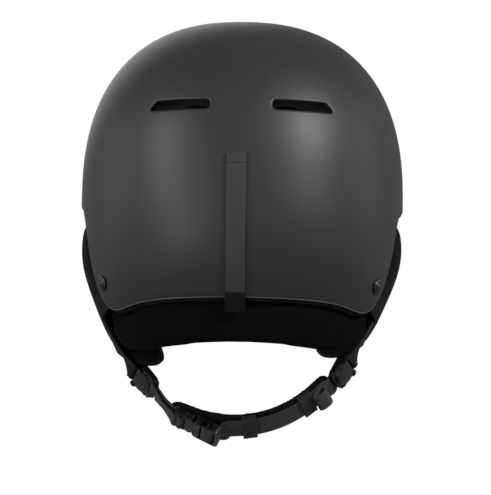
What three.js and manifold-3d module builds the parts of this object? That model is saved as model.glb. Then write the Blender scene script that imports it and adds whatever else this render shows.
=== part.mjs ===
// Ski helmet: hard shell, foam liner, comfort pads, Y-straps, chin strap with a side-release
// buckle, and a goggle-strap retainer on the back.
// Millimetres. +Z up, +Y towards the wearer's front, +X towards the wearer's right.
// The origin is the middle of the crown pad's inner face, where the head is seated.
import * as THREE from 'three';
import { mergeVertices } from 'three/addons/utils/BufferGeometryUtils.js';
import Module from 'manifold-3d';

const wasm = await Module();
wasm.setup();

// ---- driving dimensions ------------------------------------------------------------------
const GAP = 0.3;

// Outer shell: superellipse plans stacked on a superellipse height profile.
const SHELL = {
  waistZ: -91,
  halfWidth: 113,
  frontLength: 136,
  rearLength: 140,
  crownHeight: 126,
  planPower: 2.3,
  crownPower: 2.45,
  tuckPower: 2.3,
  sideDrop: 330,
  frontDrop: 200,
  rearDrop: 132,
  thickness: 2.5,
};
const FOAM = { outerInset: SHELL.thickness + 3 * GAP, innerInset: 27, edgeLift: 1.6 };
const PAD = { outerInset: FOAM.innerInset + 3 * GAP, crownInset: 30.5, innerInset: 35 };

// Lower edge of the shell on one side, from the nape to the brow: [y, z].
const TRIM = [
  [-124, -166], [-106, -168.5], [-88, -173], [-84, -172.5], [-81, -170], [-74, -154.6],
  [-68, -138], [-62, -121.7], [-55, -110], [-47, -102.7], [-38, -98.2], [-28, -97],
  [52, -97], [68, -94.5], [84, -86], [96, -78.5], [112, -73.5], [136, -72],
];

// Columns round the shell on one side, closer together along the ear cut-out: degrees.
const SIDE_COLUMNS = [[-90, -46, 6], [-46, -12, 11], [-12, 56, 8], [56, 90, 4]];
const SHELL_ROWS = 10;

const VENT = { innerX: 20.5, outerLowX: 61, outerHighX: 55.5, z: -41, height: 6.4 };
const REAR_RIVET = { y: -82.6, z: -155 };
const FRONT_RIVET = { y: 54, z: -86 };
const RIVET = { headRadius: 5.3, headHeight: 1.9, shankRadius: 2, flangeRadius: 4.4 };

// Goggle-strap retainer on the back of the shell.
const RETAINER = { x: -2.4, width: 12, topZ: -81, strapEndZ: -162.5, tabEndZ: -174, thickness: 1.8 };

// Chin loop: an arc in a plane that leans back from the vertical, its band rolled outwards.
const LOOP = {
  centre: new THREE.Vector3(-4.2, 10, -168.5),
  radius: 83,
  lean: THREE.MathUtils.degToRad(14),
  roll: THREE.MathUtils.degToRad(28),
};
const WEBBING = { width: 16, thickness: 1.6 };
const BUCKLE = {
  angle: -17.1,
  turn: -9,
  tilt: THREE.MathUtils.degToRad(15),
  width: 20,
  thickness: 7,
  lift: 3.5,
  webbingLift: 2.1,
};
const DIVIDER = { length: 21, width: 20, thickness: 4 };
const KEEPER = { length: 10, width: 18.8, height: 5.2, middle: -0.5, wall: 0.8 };
const KEEPER_ANGLES = [8, 38.5];
const TAIL_LOOP = { angle: 45.4, length: 11.5, height: 6.4, lift: 4.8, cloth: 1.6 };
const SWIVEL_CLEARANCE = 8.5;

// ---- solids ------------------------------------------------------------------------------
function geometryFrom(positions, triangles) {
  const geometry = new THREE.BufferGeometry();
  geometry.setAttribute('position', new THREE.Float32BufferAttribute(positions, 3));
  geometry.setIndex(triangles);
  return geometry;
}

function signedVolume(geometry) {
  const p = geometry.attributes.position.array;
  const t = geometry.index.array;
  let sum = 0;
  for (let i = 0; i < t.length; i += 3) {
    const [a, b, c] = [t[i] * 3, t[i + 1] * 3, t[i + 2] * 3];
    sum += p[a] * (p[b + 1] * p[c + 2] - p[b + 2] * p[c + 1])
      - p[a + 1] * (p[b] * p[c + 2] - p[b + 2] * p[c])
      + p[a + 2] * (p[b] * p[c + 1] - p[b + 1] * p[c]);
  }
  return sum / 6;
}

// A closed skin through equal closed loops of points, each end closed by a fan.
function loft(loops) {
  const size = loops[0].length;
  const positions = loops.flat().flatMap((point) => point.toArray());
  const triangles = [];
  for (let i = 0; i + 1 < loops.length; i += 1) {
    for (let j = 0; j < size; j += 1) {
      const next = (j + 1) % size;
      const [a, b] = [i * size + j, i * size + next];
      const [c, d] = [a + size, b + size];
      triangles.push(a, b, d, a, d, c);
    }
  }
  for (const [row, forward] of [[0, false], [loops.length - 1, true]]) {
    const centre = new THREE.Vector3();
    loops[row].forEach((point) => centre.addScaledVector(point, 1 / size));
    const hub = positions.length / 3;
    positions.push(...centre.toArray());
    for (let j = 0; j < size; j += 1) {
      const [a, b] = [row * size + j, row * size + ((j + 1) % size)];
      if (forward) triangles.push(hub, a, b);
      else triangles.push(hub, b, a);
    }
  }
  const geometry = geometryFrom(positions, triangles);
  if (signedVolume(geometry) < 0) {
    for (let i = 0; i < triangles.length; i += 3) {
      [triangles[i + 1], triangles[i + 2]] = [triangles[i + 2], triangles[i + 1]];
    }
    geometry.setIndex(triangles);
  }
  return geometry;
}

function solid(geometry) {
  const bare = geometry.clone();
  bare.deleteAttribute('normal');
  bare.deleteAttribute('uv');
  const merged = mergeVertices(bare, 1e-4);
  return new wasm.Manifold(new wasm.Mesh({
    numProp: 3,
    vertProperties: new Float32Array(merged.attributes.position.array),
    triVerts: new Uint32Array(merged.index.array),
  }));
}

function meshFrom(manifold) {
  const result = manifold.getMesh();
  return geometryFrom(Array.from(result.vertProperties), Array.from(result.triVerts));
}

function subtract(geometry, ...cutters) {
  return meshFrom(cutters.reduce((body, cutter) => body.subtract(solid(cutter)), solid(geometry)));
}

function join(...geometries) {
  const [first, ...rest] = geometries.map(solid);
  return meshFrom(rest.reduce((body, other) => body.add(other), first));
}

// A flat outline, given by [x, y] corners, extruded by depth and centred on z = 0.
function plate(corners, depth) {
  const shape = new THREE.Shape(corners.map(([x, y]) => new THREE.Vector2(x, y)));
  const geometry = new THREE.ExtrudeGeometry(shape, { depth, bevelEnabled: false });
  geometry.translate(0, 0, -depth / 2);
  return geometry;
}

function roundedPlate(length, width, depth, radius, steps = 3) {
  const corners = [];
  [[1, 1], [-1, 1], [-1, -1], [1, -1]].forEach(([sx, sy], quarter) => {
    for (let k = 0; k <= steps; k += 1) {
      const angle = (quarter + k / steps) * Math.PI / 2;
      corners.push([
        sx * (length / 2 - radius) + radius * Math.cos(angle),
        sy * (width / 2 - radius) + radius * Math.sin(angle),
      ]);
    }
  });
  return plate(corners, depth);
}

function box(length, width, height, x = 0, y = 0, z = 0) {
  const geometry = new THREE.BoxGeometry(length, width, height);
  geometry.translate(x, y, z);
  return geometry;
}

// Rounded rectangle as a superellipse: unit coordinates of one section.
function softSection(points, power = 4) {
  return Array.from({ length: points }, (_, k) => {
    const angle = (k / points) * Math.PI * 2;
    const [c, s] = [Math.cos(angle), Math.sin(angle)];
    return [Math.sign(c) * Math.abs(c) ** (2 / power), Math.sign(s) * Math.abs(s) ** (2 / power)];
  });
}

// ---- shell surface -----------------------------------------------------------------------
function tuck(z, drop) {
  return (1 - ((SHELL.waistZ - z) / drop) ** SHELL.tuckPower) ** (1 / SHELL.tuckPower);
}

function planAxes(z, inset) {
  if (z >= SHELL.waistZ) {
    const rise = Math.min((z - SHELL.waistZ) / (SHELL.crownHeight - inset), 1);
    const factor = (1 - rise ** SHELL.crownPower) ** (1 / SHELL.crownPower);
    return {
      side: (SHELL.halfWidth - inset) * factor,
      front: (SHELL.frontLength - inset) * factor,
      rear: (SHELL.rearLength - inset) * factor,
    };
  }
  return {
    side: SHELL.halfWidth * tuck(z, SHELL.sideDrop) - inset,
    front: SHELL.frontLength * tuck(z, SHELL.frontDrop) - inset,
    rear: SHELL.rearLength * tuck(z, SHELL.rearDrop) - inset,
  };
}

// Point of the shell surface at a plan angle (0 is +X, 90 degrees is +Y), height and inset.
function shellPoint(angle, z, inset = 0) {
  const axes = planAxes(z, inset);
  const [c, s] = [Math.cos(angle), Math.sin(angle)];
  const power = 2 / SHELL.planPower;
  return new THREE.Vector3(
    Math.sign(c) * axes.side * Math.abs(c) ** power,
    Math.sign(s) * (s > 0 ? axes.front : axes.rear) * Math.abs(s) ** power,
    z,
  );
}

// Point of the shell surface at a given y and height, on the side given by sign.
function shellPointAt(y, z, inset = 0, sign = 1) {
  const axes = planAxes(z, inset);
  const ratio = Math.min(Math.abs(y) / (y > 0 ? axes.front : axes.rear), 1);
  return new THREE.Vector3(
    sign * axes.side * (1 - ratio ** SHELL.planPower) ** (1 / SHELL.planPower), y, z,
  );
}

function shellNormalAt(y, z, sign = 1) {
  const step = 0.5;
  const alongY = shellPointAt(y + step, z, 0, sign).sub(shellPointAt(y - step, z, 0, sign));
  const alongZ = shellPointAt(y, z + step, 0, sign).sub(shellPointAt(y, z - step, 0, sign));
  const normal = alongY.cross(alongZ).normalize();
  return normal.x * sign < 0 ? normal.negate() : normal;
}

function trimAt(y) {
  if (y <= TRIM[0][0]) return TRIM[0][1];
  for (let i = 1; i < TRIM.length; i += 1) {
    if (y <= TRIM[i][0]) {
      const [[y0, z0], [y1, z1]] = [TRIM[i - 1], TRIM[i]];
      return THREE.MathUtils.mapLinear(y, y0, y1, z0, z1);
    }
  }
  return TRIM[TRIM.length - 1][1];
}

function trimHeight(angle) {
  let z = SHELL.waistZ;
  for (let i = 0; i < 40; i += 1) z = THREE.MathUtils.lerp(z, trimAt(shellPoint(angle, z).y), 0.6);
  return z;
}

const COLUMNS = (() => {
  const side = [];
  for (const [from, to, steps] of SIDE_COLUMNS) {
    for (let k = 0; k < steps; k += 1) side.push(from + (to - from) * (k / steps));
  }
  const degrees = [...side, ...side.map((value) => 180 - value).reverse()];
  degrees.splice(side.length, 0, 90);
  return degrees.slice(0, -1).map(THREE.MathUtils.degToRad);
})();

// Ring of points between the crown (t = 0) and the trim edge (t = 1).
const TUCK_SCALE = 110;
function shellRing(t, inset, edgeLift) {
  return COLUMNS.map((angle) => {
    const height = SHELL.crownHeight - inset;
    const edge = trimHeight(angle) + edgeLift;
    const rise = (edge - SHELL.waistZ) / height;
    const edgeCourse = rise > 0
      ? Math.asin(rise ** (SHELL.crownPower / 2))
      : (edge - SHELL.waistZ) / TUCK_SCALE;
    const course = THREE.MathUtils.lerp(Math.PI / 2, edgeCourse, t);
    const z = course > 0
      ? SHELL.waistZ + height * Math.sin(course) ** (2 / SHELL.crownPower)
      : SHELL.waistZ + course * TUCK_SCALE;
    return shellPoint(angle, z, inset);
  });
}

function cup(outerInset, innerInset, edgeLift, rows) {
  const outer = [];
  const inner = [];
  for (let row = 1; row <= rows; row += 1) {
    const t = (row / rows) ** 0.9;
    outer.push(shellRing(t, outerInset, edgeLift));
    inner.unshift(shellRing(t, innerInset, edgeLift));
  }
  return loft([...outer, ...inner]);
}

// ---- shell and liner ---------------------------------------------------------------------
function ventCutter(side, facing) {
  const half = VENT.height / 2;
  const corners = [
    [VENT.innerX + 1.2, -half], [VENT.outerLowX, -half], [VENT.outerHighX, half],
    [VENT.innerX + 1.2, half], [VENT.innerX, half - 1.6], [VENT.innerX, -half + 1.6],
  ];
  const cutter = plate(corners, 75);
  cutter.rotateX(Math.PI / 2);
  cutter.scale(side, 1, 1);
  if (side < 0) cutter.setIndex(flipped(cutter));
  cutter.translate(0, facing * 117, VENT.z);
  return cutter;
}

function flipped(geometry) {
  const index = geometry.index
    ? Array.from(geometry.index.array)
    : Array.from({ length: geometry.attributes.position.count }, (_, k) => k);
  for (let i = 0; i < index.length; i += 3) {
    [index[i + 1], index[i + 2]] = [index[i + 2], index[i + 1]];
  }
  return index;
}

const ventCutters = [[-1, -1], [1, -1], [-1, 1], [1, 1]]
  .map(([side, facing]) => ventCutter(side, facing));

// Turns a geometry made along +Z onto a point of the shell, +Z along the outward normal.
function placeOnShell(geometry, { y, z }, sign) {
  const normal = shellNormalAt(y, z, sign);
  geometry.applyQuaternion(new THREE.Quaternion().setFromUnitVectors(new THREE.Vector3(0, 0, 1), normal));
  const point = shellPointAt(y, z, 0, sign);
  geometry.translate(point.x, point.y, point.z);
  return geometry;
}

function cylinder(radius, low, high, segments = 12) {
  const geometry = new THREE.CylinderGeometry(radius, radius, high - low, segments);
  geometry.rotateX(Math.PI / 2);
  geometry.translate(0, 0, (low + high) / 2);
  return geometry;
}

const RIVETS = [
  { name: 'rivet_rear_left', at: REAR_RIVET, sign: -1 },
  { name: 'rivet_rear_right', at: REAR_RIVET, sign: 1 },
  { name: 'rivet_front_left', at: FRONT_RIVET, sign: -1 },
  { name: 'rivet_front_right', at: FRONT_RIVET, sign: 1 },
];

function shellGeometry() {
  const holes = RIVETS.map(({ at, sign }) => placeOnShell(
    cylinder(RIVET.shankRadius + GAP, -8, 8), at, sign,
  ));
  return subtract(cup(0, SHELL.thickness, 0, SHELL_ROWS), ...ventCutters, ...holes);
}

// Mushroom rivet: domed head outside, shank through the shell, flange behind the strap end.
function rivetGeometry({ at, sign }) {
  const { headRadius, headHeight, shankRadius, flangeRadius } = RIVET;
  const seat = 0.45;
  const back = -9.8;
  const profile = [
    [0, back], [flangeRadius, back], [flangeRadius, back + 1.2], [shankRadius, back + 1.2],
    [shankRadius, seat], [headRadius, seat], [headRadius, seat + 0.6],
    [headRadius * 0.72, seat + headHeight * 0.8], [headRadius * 0.5, seat + headHeight * 0.8],
    [headRadius * 0.42, seat + headHeight], [0, seat + headHeight],
  ];
  const geometry = new THREE.LatheGeometry(profile.map(([r, z]) => new THREE.Vector2(r, z)), 12);
  geometry.rotateX(Math.PI / 2);
  return placeOnShell(geometry, at, sign);
}

// ---- pads held in the liner --------------------------------------------------------------
// A pad bent along the shell surface between two plan angles, given in degrees.
// Where hang is given, the pad follows the surface only that share of its way below the waist.
function bentPad({ from, to, steps, top, bottom, outer, inner, points = 12, hang = 1 }) {
  const section = softSection(points);
  const loops = [];
  for (let i = 0; i <= steps; i += 1) {
    const t = i / steps;
    const shrink = Math.max(1 - Math.abs(2 * t - 1) ** 8, 0.18) ** 0.35;
    const angle = THREE.MathUtils.degToRad(THREE.MathUtils.lerp(from, to, t));
    const [high, low] = [top(angle), bottom(angle)];
    loops.push(section.map(([u, v]) => {
      const z = (high + low) / 2 + u * shrink * (high - low) / 2;
      const depth = THREE.MathUtils.mapLinear(z, low, high, 0, 1);
      const out = outer(depth);
      const inn = inner(depth);
      const inset = (out + inn) / 2 - v * shrink * (inn - out) / 2;
      const followed = high + (z - high) * hang;
      return shellPoint(angle, followed, inset).setZ(z);
    }));
  }
  return loft(loops);
}

const constant = (value) => () => value;

function linerPad(from, to, steps, low, high) {
  return bentPad({
    from,
    to,
    steps,
    top: constant(high),
    bottom: constant(low),
    outer: constant(PAD.outerInset),
    inner: constant(PAD.innerInset),
  });
}

function crownPadGeometry() {
  const [outerRings, innerRings] = [[], []];
  for (const degrees of [78, 64, 52]) {
    for (const [rings, inset] of [[outerRings, PAD.crownInset], [innerRings, PAD.innerInset]]) {
      const course = THREE.MathUtils.degToRad(degrees);
      const z = SHELL.waistZ + (SHELL.crownHeight - inset) * Math.sin(course) ** (2 / SHELL.crownPower);
      rings.push(Array.from({ length: 28 }, (_, k) => shellPoint((k / 28) * Math.PI * 2, z, inset)));
    }
  }
  return loft([...outerRings, ...innerRings.reverse()]);
}

// Plastic edge strip that carries the neck roll, tucked under the back edge of the liner.
function rollCarrierGeometry() {
  return bentPad({
    from: -90 - 38,
    to: -90 + 38,
    steps: 18,
    top: (angle) => trimHeight(angle) + 1.2,
    bottom: (angle) => trimHeight(angle) - 2.4,
    outer: constant(3.2),
    inner: constant(10),
    points: 8,
  });
}

function neckRollGeometry() {
  return bentPad({
    from: -90 - 58,
    to: -90 + 58,
    steps: 20,
    top: (angle) => trimHeight(angle) - 2.6,
    bottom: (angle) => -196 - 4 * Math.min(Math.abs(Math.cos(angle)) / 0.6, 1) ** 2,
    outer: (depth) => THREE.MathUtils.lerp(12, 6.2, depth),
    inner: (depth) => THREE.MathUtils.lerp(27, 23, depth),
    hang: 0.35,
  });
}

// ---- ear pads ----------------------------------------------------------------------------
// Stations down the ear pad: mid-thickness x and z, thickness, rear and front y.
const EAR_STATIONS = [
  { x: 97, z: -101, thick: 9, back: -40, front: 56 },
  { x: 100.5, z: -113, thick: 19, back: -49, front: 55 },
  { x: 100.5, z: -132, thick: 20, back: -60, front: 50 },
  { x: 92, z: -158, thick: 20, back: -65, front: 40 },
  { x: 81.5, z: -179, thick: 18, back: -50, front: 31 },
  { x: 70, z: -190.5, thick: 17, back: -38, front: 25 },
  { x: 58.5, z: -193.5, thick: 14, back: -34, front: 19 },
  { x: 52.5, z: -192.5, thick: 7, back: -27, front: 13 },
];
const EAR_TOP_Z = -97;
const EAR_DROP = { left: 1.005, right: 0.95 };

const earCurve = new THREE.CatmullRomCurve3(
  EAR_STATIONS.map(({ x, z }) => new THREE.Vector3(x, 0, z)), false, 'centripetal',
);

function earStation(t) {
  const last = EAR_STATIONS.length - 1;
  const index = Math.min(Math.floor(t * last), last - 1);
  const part = t * last - index;
  const [a, b] = [EAR_STATIONS[index], EAR_STATIONS[index + 1]];
  const mix = (key) => THREE.MathUtils.lerp(a[key], b[key], part);
  const point = earCurve.getPoint(t);
  const tangent = earCurve.getTangent(t);
  return {
    point,
    normal: new THREE.Vector3(-tangent.z, 0, tangent.x),
    thick: mix('thick'),
    back: mix('back'),
    front: mix('front'),
  };
}

function planBend(y) {
  return (1 - (Math.abs(y) / SHELL.rearLength) ** SHELL.planPower) ** (1 / SHELL.planPower);
}

// Point of an ear pad: t down the pad, y across it, height above its middle layer.
function earPoint(side, t, y, height) {
  const { point, normal } = earStation(t);
  const local = point.clone().addScaledVector(normal, height);
  const sign = side === 'left' ? -1 : 1;
  return new THREE.Vector3(
    sign * local.x * planBend(y), y, EAR_TOP_Z + (local.z - EAR_TOP_Z) * EAR_DROP[side],
  );
}

function earPadGeometry(side) {
  const section = softSection(16);
  const loops = [];
  const steps = 16;
  for (let i = 0; i <= steps; i += 1) {
    const t = i / steps;
    const { thick, back, front } = earStation(t);
    const shrink = t < 1 ? 1 : 0.7;
    loops.push(section.map(([u, v]) => earPoint(
      side, t, (back + front) / 2 + u * shrink * (front - back) / 2, v * shrink * thick / 2,
    )));
  }
  return loft(loops);
}

// ---- straps ------------------------------------------------------------------------------
// A flat band through frames { point, normal }; its width lies across the path.
function ribbon(frames, width, thickness) {
  const count = frames.length - 1;
  const loops = frames.map(({ point, normal, across, scale = 1 }, index) => {
    const before = frames[Math.max(index - 1, 0)].point;
    const after = frames[Math.min(index + 1, count)].point;
    const along = after.clone().sub(before).normalize();
    const side = across ? across.clone() : along.clone().cross(normal).normalize();
    const up = side.clone().cross(along).normalize();
    const [w, h] = [width * scale / 2, thickness / 2];
    return [[1, 1], [-1, 1], [-1, -1], [1, -1]].map(([sx, sy]) => point.clone()
      .addScaledVector(side, sx * w).addScaledVector(up, sy * h));
  });
  return loft(loops);
}

function smoothFrames(frames, steps) {
  const path = new THREE.CatmullRomCurve3(frames.map(({ point }) => point), false, 'centripetal');
  const last = frames.length - 1;
  return Array.from({ length: steps + 1 }, (_, k) => {
    const t = k / steps;
    const index = Math.min(Math.floor(t * last), last - 1);
    const normal = frames[index].normal.clone().lerp(frames[index + 1].normal, t * last - index);
    const scale = Math.min(1, THREE.MathUtils.mapLinear(t, 1, 0.8, 0.5, 1));
    return { point: path.getPoint(t), normal: normal.normalize(), scale };
  });
}

function shellFrame(y, z, inset, sign) {
  return { point: shellPointAt(y, z, inset, sign), normal: shellNormalAt(y, z, sign) };
}

function earFrame(side, t, y, lift) {
  const { thick } = earStation(t);
  const low = earPoint(side, t, y, 0);
  const point = earPoint(side, t, y, thick / 2 + lift);
  return { point, normal: point.clone().sub(low).normalize() };
}

const STRAP_INSET = 5.4;

function sideStrapFrames(side, end) {
  const sign = side === 'left' ? -1 : 1;
  const top = dividerFrame(side);
  const mouth = (across, rise, outward) => ({
    point: top.centre.clone().addScaledVector(top.up, DIVIDER.length / 2 + rise)
      .addScaledVector(top.across, across).addScaledVector(top.out, outward),
    normal: top.out.clone(),
  });
  if (end === 'rear') {
    return smoothFrames([
      shellFrame(REAR_RIVET.y - 4.5, REAR_RIVET.z + 4.5, STRAP_INSET, sign),
      shellFrame(REAR_RIVET.y + 5, REAR_RIVET.z - 5, STRAP_INSET, sign),
      shellFrame(REAR_RIVET.y + 15, REAR_RIVET.z - 15, 2.2, sign),
      earFrame(side, 0.5, -55, 2.4),
      earFrame(side, 0.6, -41, 2.4),
      earFrame(side, 0.69, -22, 4.4),
      mouth(4.6, 3.4, 3.4),
    ], 22);
  }
  return smoothFrames([
    shellFrame(FRONT_RIVET.y, FRONT_RIVET.z + 6, STRAP_INSET, sign),
    shellFrame(FRONT_RIVET.y - 1, FRONT_RIVET.z - 9, STRAP_INSET, sign),
    earFrame(side, 0.16, 45, 1.8),
    earFrame(side, 0.32, 34, 1.6),
    earFrame(side, 0.48, 22, 1.6),
    earFrame(side, 0.62, 12, 2),
    mouth(-4.6, 2.2, 1),
  ], 24);
}

// ---- chin loop ---------------------------------------------------------------------------
const loopDown = new THREE.Vector3(0, -Math.sin(LOOP.lean), -Math.cos(LOOP.lean));
const loopBack = new THREE.Vector3(0, -Math.cos(LOOP.lean), Math.sin(LOOP.lean));
const loopSide = new THREE.Vector3(1, 0, 0);

// Directions at an angle round the loop, in degrees from its lowest point towards +X.
function loopDirections(degrees) {
  const angle = THREE.MathUtils.degToRad(degrees);
  const mix = (first, second, by) => first.clone().multiplyScalar(Math.cos(by))
    .addScaledVector(second, Math.sin(by));
  const radial = mix(loopDown, loopSide, angle);
  const along = mix(loopSide, loopDown, -angle);
  const out = mix(radial, loopBack, LOOP.roll);
  const across = mix(loopBack, radial, -LOOP.roll);
  return { radial, along, out, across };
}

function loopPoint(degrees, height = 0, across = 0, radius = LOOP.radius) {
  const axes = loopDirections(degrees);
  return LOOP.centre.clone().addScaledVector(axes.radial, radius)
    .addScaledVector(axes.out, height).addScaledVector(axes.across, across);
}

function loopFrame(degrees, height = 0) {
  const axes = loopDirections(degrees);
  return { point: loopPoint(degrees, height), normal: axes.out, across: axes.across };
}

// Matrix with local x along the band, y across it and z out of it.
function bandMatrix(origin, along, out) {
  const y = out.clone().cross(along).normalize();
  const z = along.clone().cross(y).normalize();
  return new THREE.Matrix4().makeBasis(along.clone().normalize(), y, z).setPosition(origin);
}

const buckleMatrix = (() => {
  const at = loopDirections(BUCKLE.angle);
  const turned = loopDirections(BUCKLE.angle + BUCKLE.turn);
  const out = at.out.clone().applyAxisAngle(turned.along, BUCKLE.tilt);
  return bandMatrix(loopPoint(BUCKLE.angle, BUCKLE.lift), turned.along, out);
})();

function buckleToWorld(x, y, z) {
  return new THREE.Vector3(x, y, z).applyMatrix4(buckleMatrix);
}

const MALE_END_X = -17.5;
const FEMALE_END_X = 18;
const leftWebbingStart = loopPoint(BUCKLE.angle, BUCKLE.webbingLift)
  .addScaledVector(loopDirections(BUCKLE.angle + BUCKLE.turn).along, MALE_END_X - 2.8);
const leftDividerCentre = LOOP.centre.clone()
  .addScaledVector(loopSide, -62.9).addScaledVector(loopDown, 48);
const rightDividerAngle = 62;

function dividerFrame(side) {
  if (side === 'left') {
    const up = leftDividerCentre.clone().sub(leftWebbingStart).normalize();
    const tilted = loopDirections(-50);
    const across = tilted.across.clone().addScaledVector(up, -tilted.across.dot(up)).normalize();
    const out = across.clone().cross(up).normalize();
    return { centre: leftDividerCentre, up, across, out: out.x > 0 ? out.negate() : out };
  }
  const axes = loopDirections(rightDividerAngle + 1);
  return {
    centre: loopPoint(rightDividerAngle, 0, 0, LOOP.radius + 2.5),
    up: axes.along,
    across: axes.across,
    out: axes.out,
  };
}

function pivot(side) {
  const { centre, up } = dividerFrame(side);
  return centre.clone().addScaledVector(up, -DIVIDER.length / 2 - SWIVEL_CLEARANCE);
}

// Band width scale near a round end at the given distance from the end's centre.
function roundScale(distance, radius) {
  return Math.sqrt(Math.max(1 - (distance / radius) ** 2, 0.03));
}

function mainWebbingGeometry() {
  const start = -3.6;
  const end = 48.5;
  const steps = 26;
  const frames = [];
  for (let i = 0; i <= steps; i += 1) {
    const degrees = THREE.MathUtils.lerp(start, end, i / steps);
    const lift = 3.2 * (1 - THREE.MathUtils.smoothstep(degrees, start, start + 8));
    frames.push(loopFrame(degrees, lift));
  }
  const half = WEBBING.width / 2;
  for (const part of [0.35, 0.65, 0.85, 0.98]) {
    const degrees = end + THREE.MathUtils.radToDeg(part * half / LOOP.radius);
    frames.push({ ...loopFrame(degrees), scale: roundScale(part, 1) });
  }
  return ribbon(frames, WEBBING.width, WEBBING.thickness);
}

function leftWebbingGeometry() {
  const { up, across, out } = dividerFrame('left');
  const centre = pivot('left');
  const half = WEBBING.width / 2;
  const length = centre.distanceTo(leftWebbingStart);
  const frames = [0, 0.5, 1].map((part) => ({
    point: leftWebbingStart.clone().addScaledVector(up, part * length), normal: out, across,
  }));
  for (const part of [0.35, 0.65, 0.85, 0.98]) {
    frames.push({
      point: centre.clone().addScaledVector(up, part * half),
      normal: out,
      across,
      scale: roundScale(part, 1),
    });
  }
  return ribbon(frames, WEBBING.width, WEBBING.thickness * 1.6);
}

function chinPadGeometry() {
  const [from, to, steps] = [-30, 55, 20];
  const [halfWidth, halfThick, middle] = [9, 3, -4.9];
  const section = softSection(10);
  const loops = [];
  for (let i = 0; i <= steps; i += 1) {
    const t = i / steps;
    const taper = Math.max(1 - Math.abs(2 * t - 1) ** 12, 0.1) ** 0.4;
    const degrees = THREE.MathUtils.lerp(from, to, t);
    loops.push(section.map(([u, v]) => loopPoint(degrees, middle + v * halfThick, u * halfWidth * taper)));
  }
  return subtract(loft(loops), ...KEEPER_ANGLES.map((angle) => keeperBlock(angle, GAP)));
}

// Block that a keeper fills, grown by a clearance.
function keeperBlock(degrees, clearance) {
  const { length, width, height, middle } = KEEPER;
  const block = box(length + 2 * clearance, width + 2 * clearance, height + 2 * clearance);
  const axes = loopDirections(degrees);
  block.applyMatrix4(bandMatrix(loopPoint(degrees, middle), axes.along, axes.out));
  return block;
}

function keeperGeometry(degrees) {
  const { length, width, height, middle, wall } = KEEPER;
  const passage = box(length + 2, width - 2 * wall, height - 2 * wall);
  const axes = loopDirections(degrees);
  passage.applyMatrix4(bandMatrix(loopPoint(degrees, middle), axes.along, axes.out));
  return subtract(keeperBlock(degrees, 0), passage);
}

function tailLoopGeometry() {
  const { angle, length, height, lift, cloth } = TAIL_LOOP;
  const outline = (inset, depth) => roundedPlate(
    length - 2 * inset, height - 2 * inset, depth, height / 2 - inset - 0.05, 5,
  );
  const loop = subtract(outline(0, WEBBING.width), outline(cloth, WEBBING.width + 4));
  loop.rotateX(Math.PI / 2);
  const axes = loopDirections(angle);
  loop.applyMatrix4(bandMatrix(loopPoint(angle, lift), axes.along, axes.out));
  return loop;
}

// ---- buckle ------------------------------------------------------------------------------
// Side-release buckle in its own frame: the male part enters from -x.
const MOUTH_X = -2;
const PRONG_ROOT = { x: -3.3, y: 5.6 };

function femaleGeometry() {
  const { width, thickness } = BUCKLE;
  const body = roundedPlate(FEMALE_END_X - MOUTH_X, width, thickness, 2.2);
  body.translate((FEMALE_END_X + MOUTH_X) / 2, 0, 0);
  const room = plate([
    [MOUTH_X - 1, -8], [4, -9.05], [4, -13], [11, -13], [11, 13], [4, 13], [4, 9.05], [MOUTH_X - 1, 8],
  ], 4.2);
  const slot = box(2.8, 16.8, 20, 13.9, 0, 0);
  return subtract(body, room, slot);
}

function maleGeometry() {
  const base = roundedPlate(MOUTH_X - GAP - MALE_END_X, BUCKLE.width - 1, 5.4, 2.2);
  base.translate((MOUTH_X - GAP + MALE_END_X) / 2, 0, 0);
  const firstSlot = box(2.4, 16, 20, -14.4, 0, 0);
  const secondSlot = box(2.4, 16, 20, -9.6, 0, 0);
  const rootSlots = [-1, 1].map((side) => box(6, 4.2, 3.9, PRONG_ROOT.x, side * PRONG_ROOT.y, 0));
  const tongue = box(4, 3.2, 3.2, -0.6, 0, 0);
  return join(subtract(base, firstSlot, secondSlot, ...rootSlots), tongue);
}

function prongGeometry(side) {
  const outline = [
    [-5.8, 4.4], [4.8, 4.2], [10.4, 4.4], [10.4, 7.6], [8.2, 9.6], [7.4, 9.6], [5.2, 7.2],
    [4.4, 6.9], [-5.8, 6.8],
  ];
  const prong = plate(outline, 3.2);
  if (side < 0) {
    prong.scale(1, -1, 1);
    prong.setIndex(flipped(prong));
  }
  return prong;
}

// ---- strap dividers ----------------------------------------------------------------------
const LEVER = { length: 13, width: 15.4, thickness: 2.2 };
const LEVER_HINGE_X = 4.2;

function dividerMatrix(side) {
  const { centre, up, out } = dividerFrame(side);
  return bandMatrix(centre, up, out);
}

function dividerBodyGeometry(side) {
  const { length, width, thickness } = DIVIDER;
  const body = roundedPlate(length, width, thickness, 3);
  const slots = [7.6, 1.2, -7.4].map((x) => box(2.4, width - 4.6, 20, x, 0, 0));
  const ears = [-1, 1].map((end) => box(
    5, 1.6, 4.6, LEVER_HINGE_X, end * 8.6, thickness / 2 + 1.6,
  ));
  const result = join(subtract(body, ...slots), ...ears);
  result.applyMatrix4(dividerMatrix(side));
  return result;
}

function dividerLeverGeometry(side) {
  const pin = new THREE.CylinderGeometry(1.5, 1.5, LEVER.width, 14);
  pin.translate(LEVER_HINGE_X, 0, DIVIDER.thickness / 2 + 2);
  const tongue = roundedPlate(LEVER.length, LEVER.width, LEVER.thickness, 2);
  tongue.translate(LEVER_HINGE_X - LEVER.length / 2, 0, DIVIDER.thickness / 2 + 2);
  const result = join(pin, tongue);
  result.applyMatrix4(dividerMatrix(side));
  return result;
}

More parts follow.
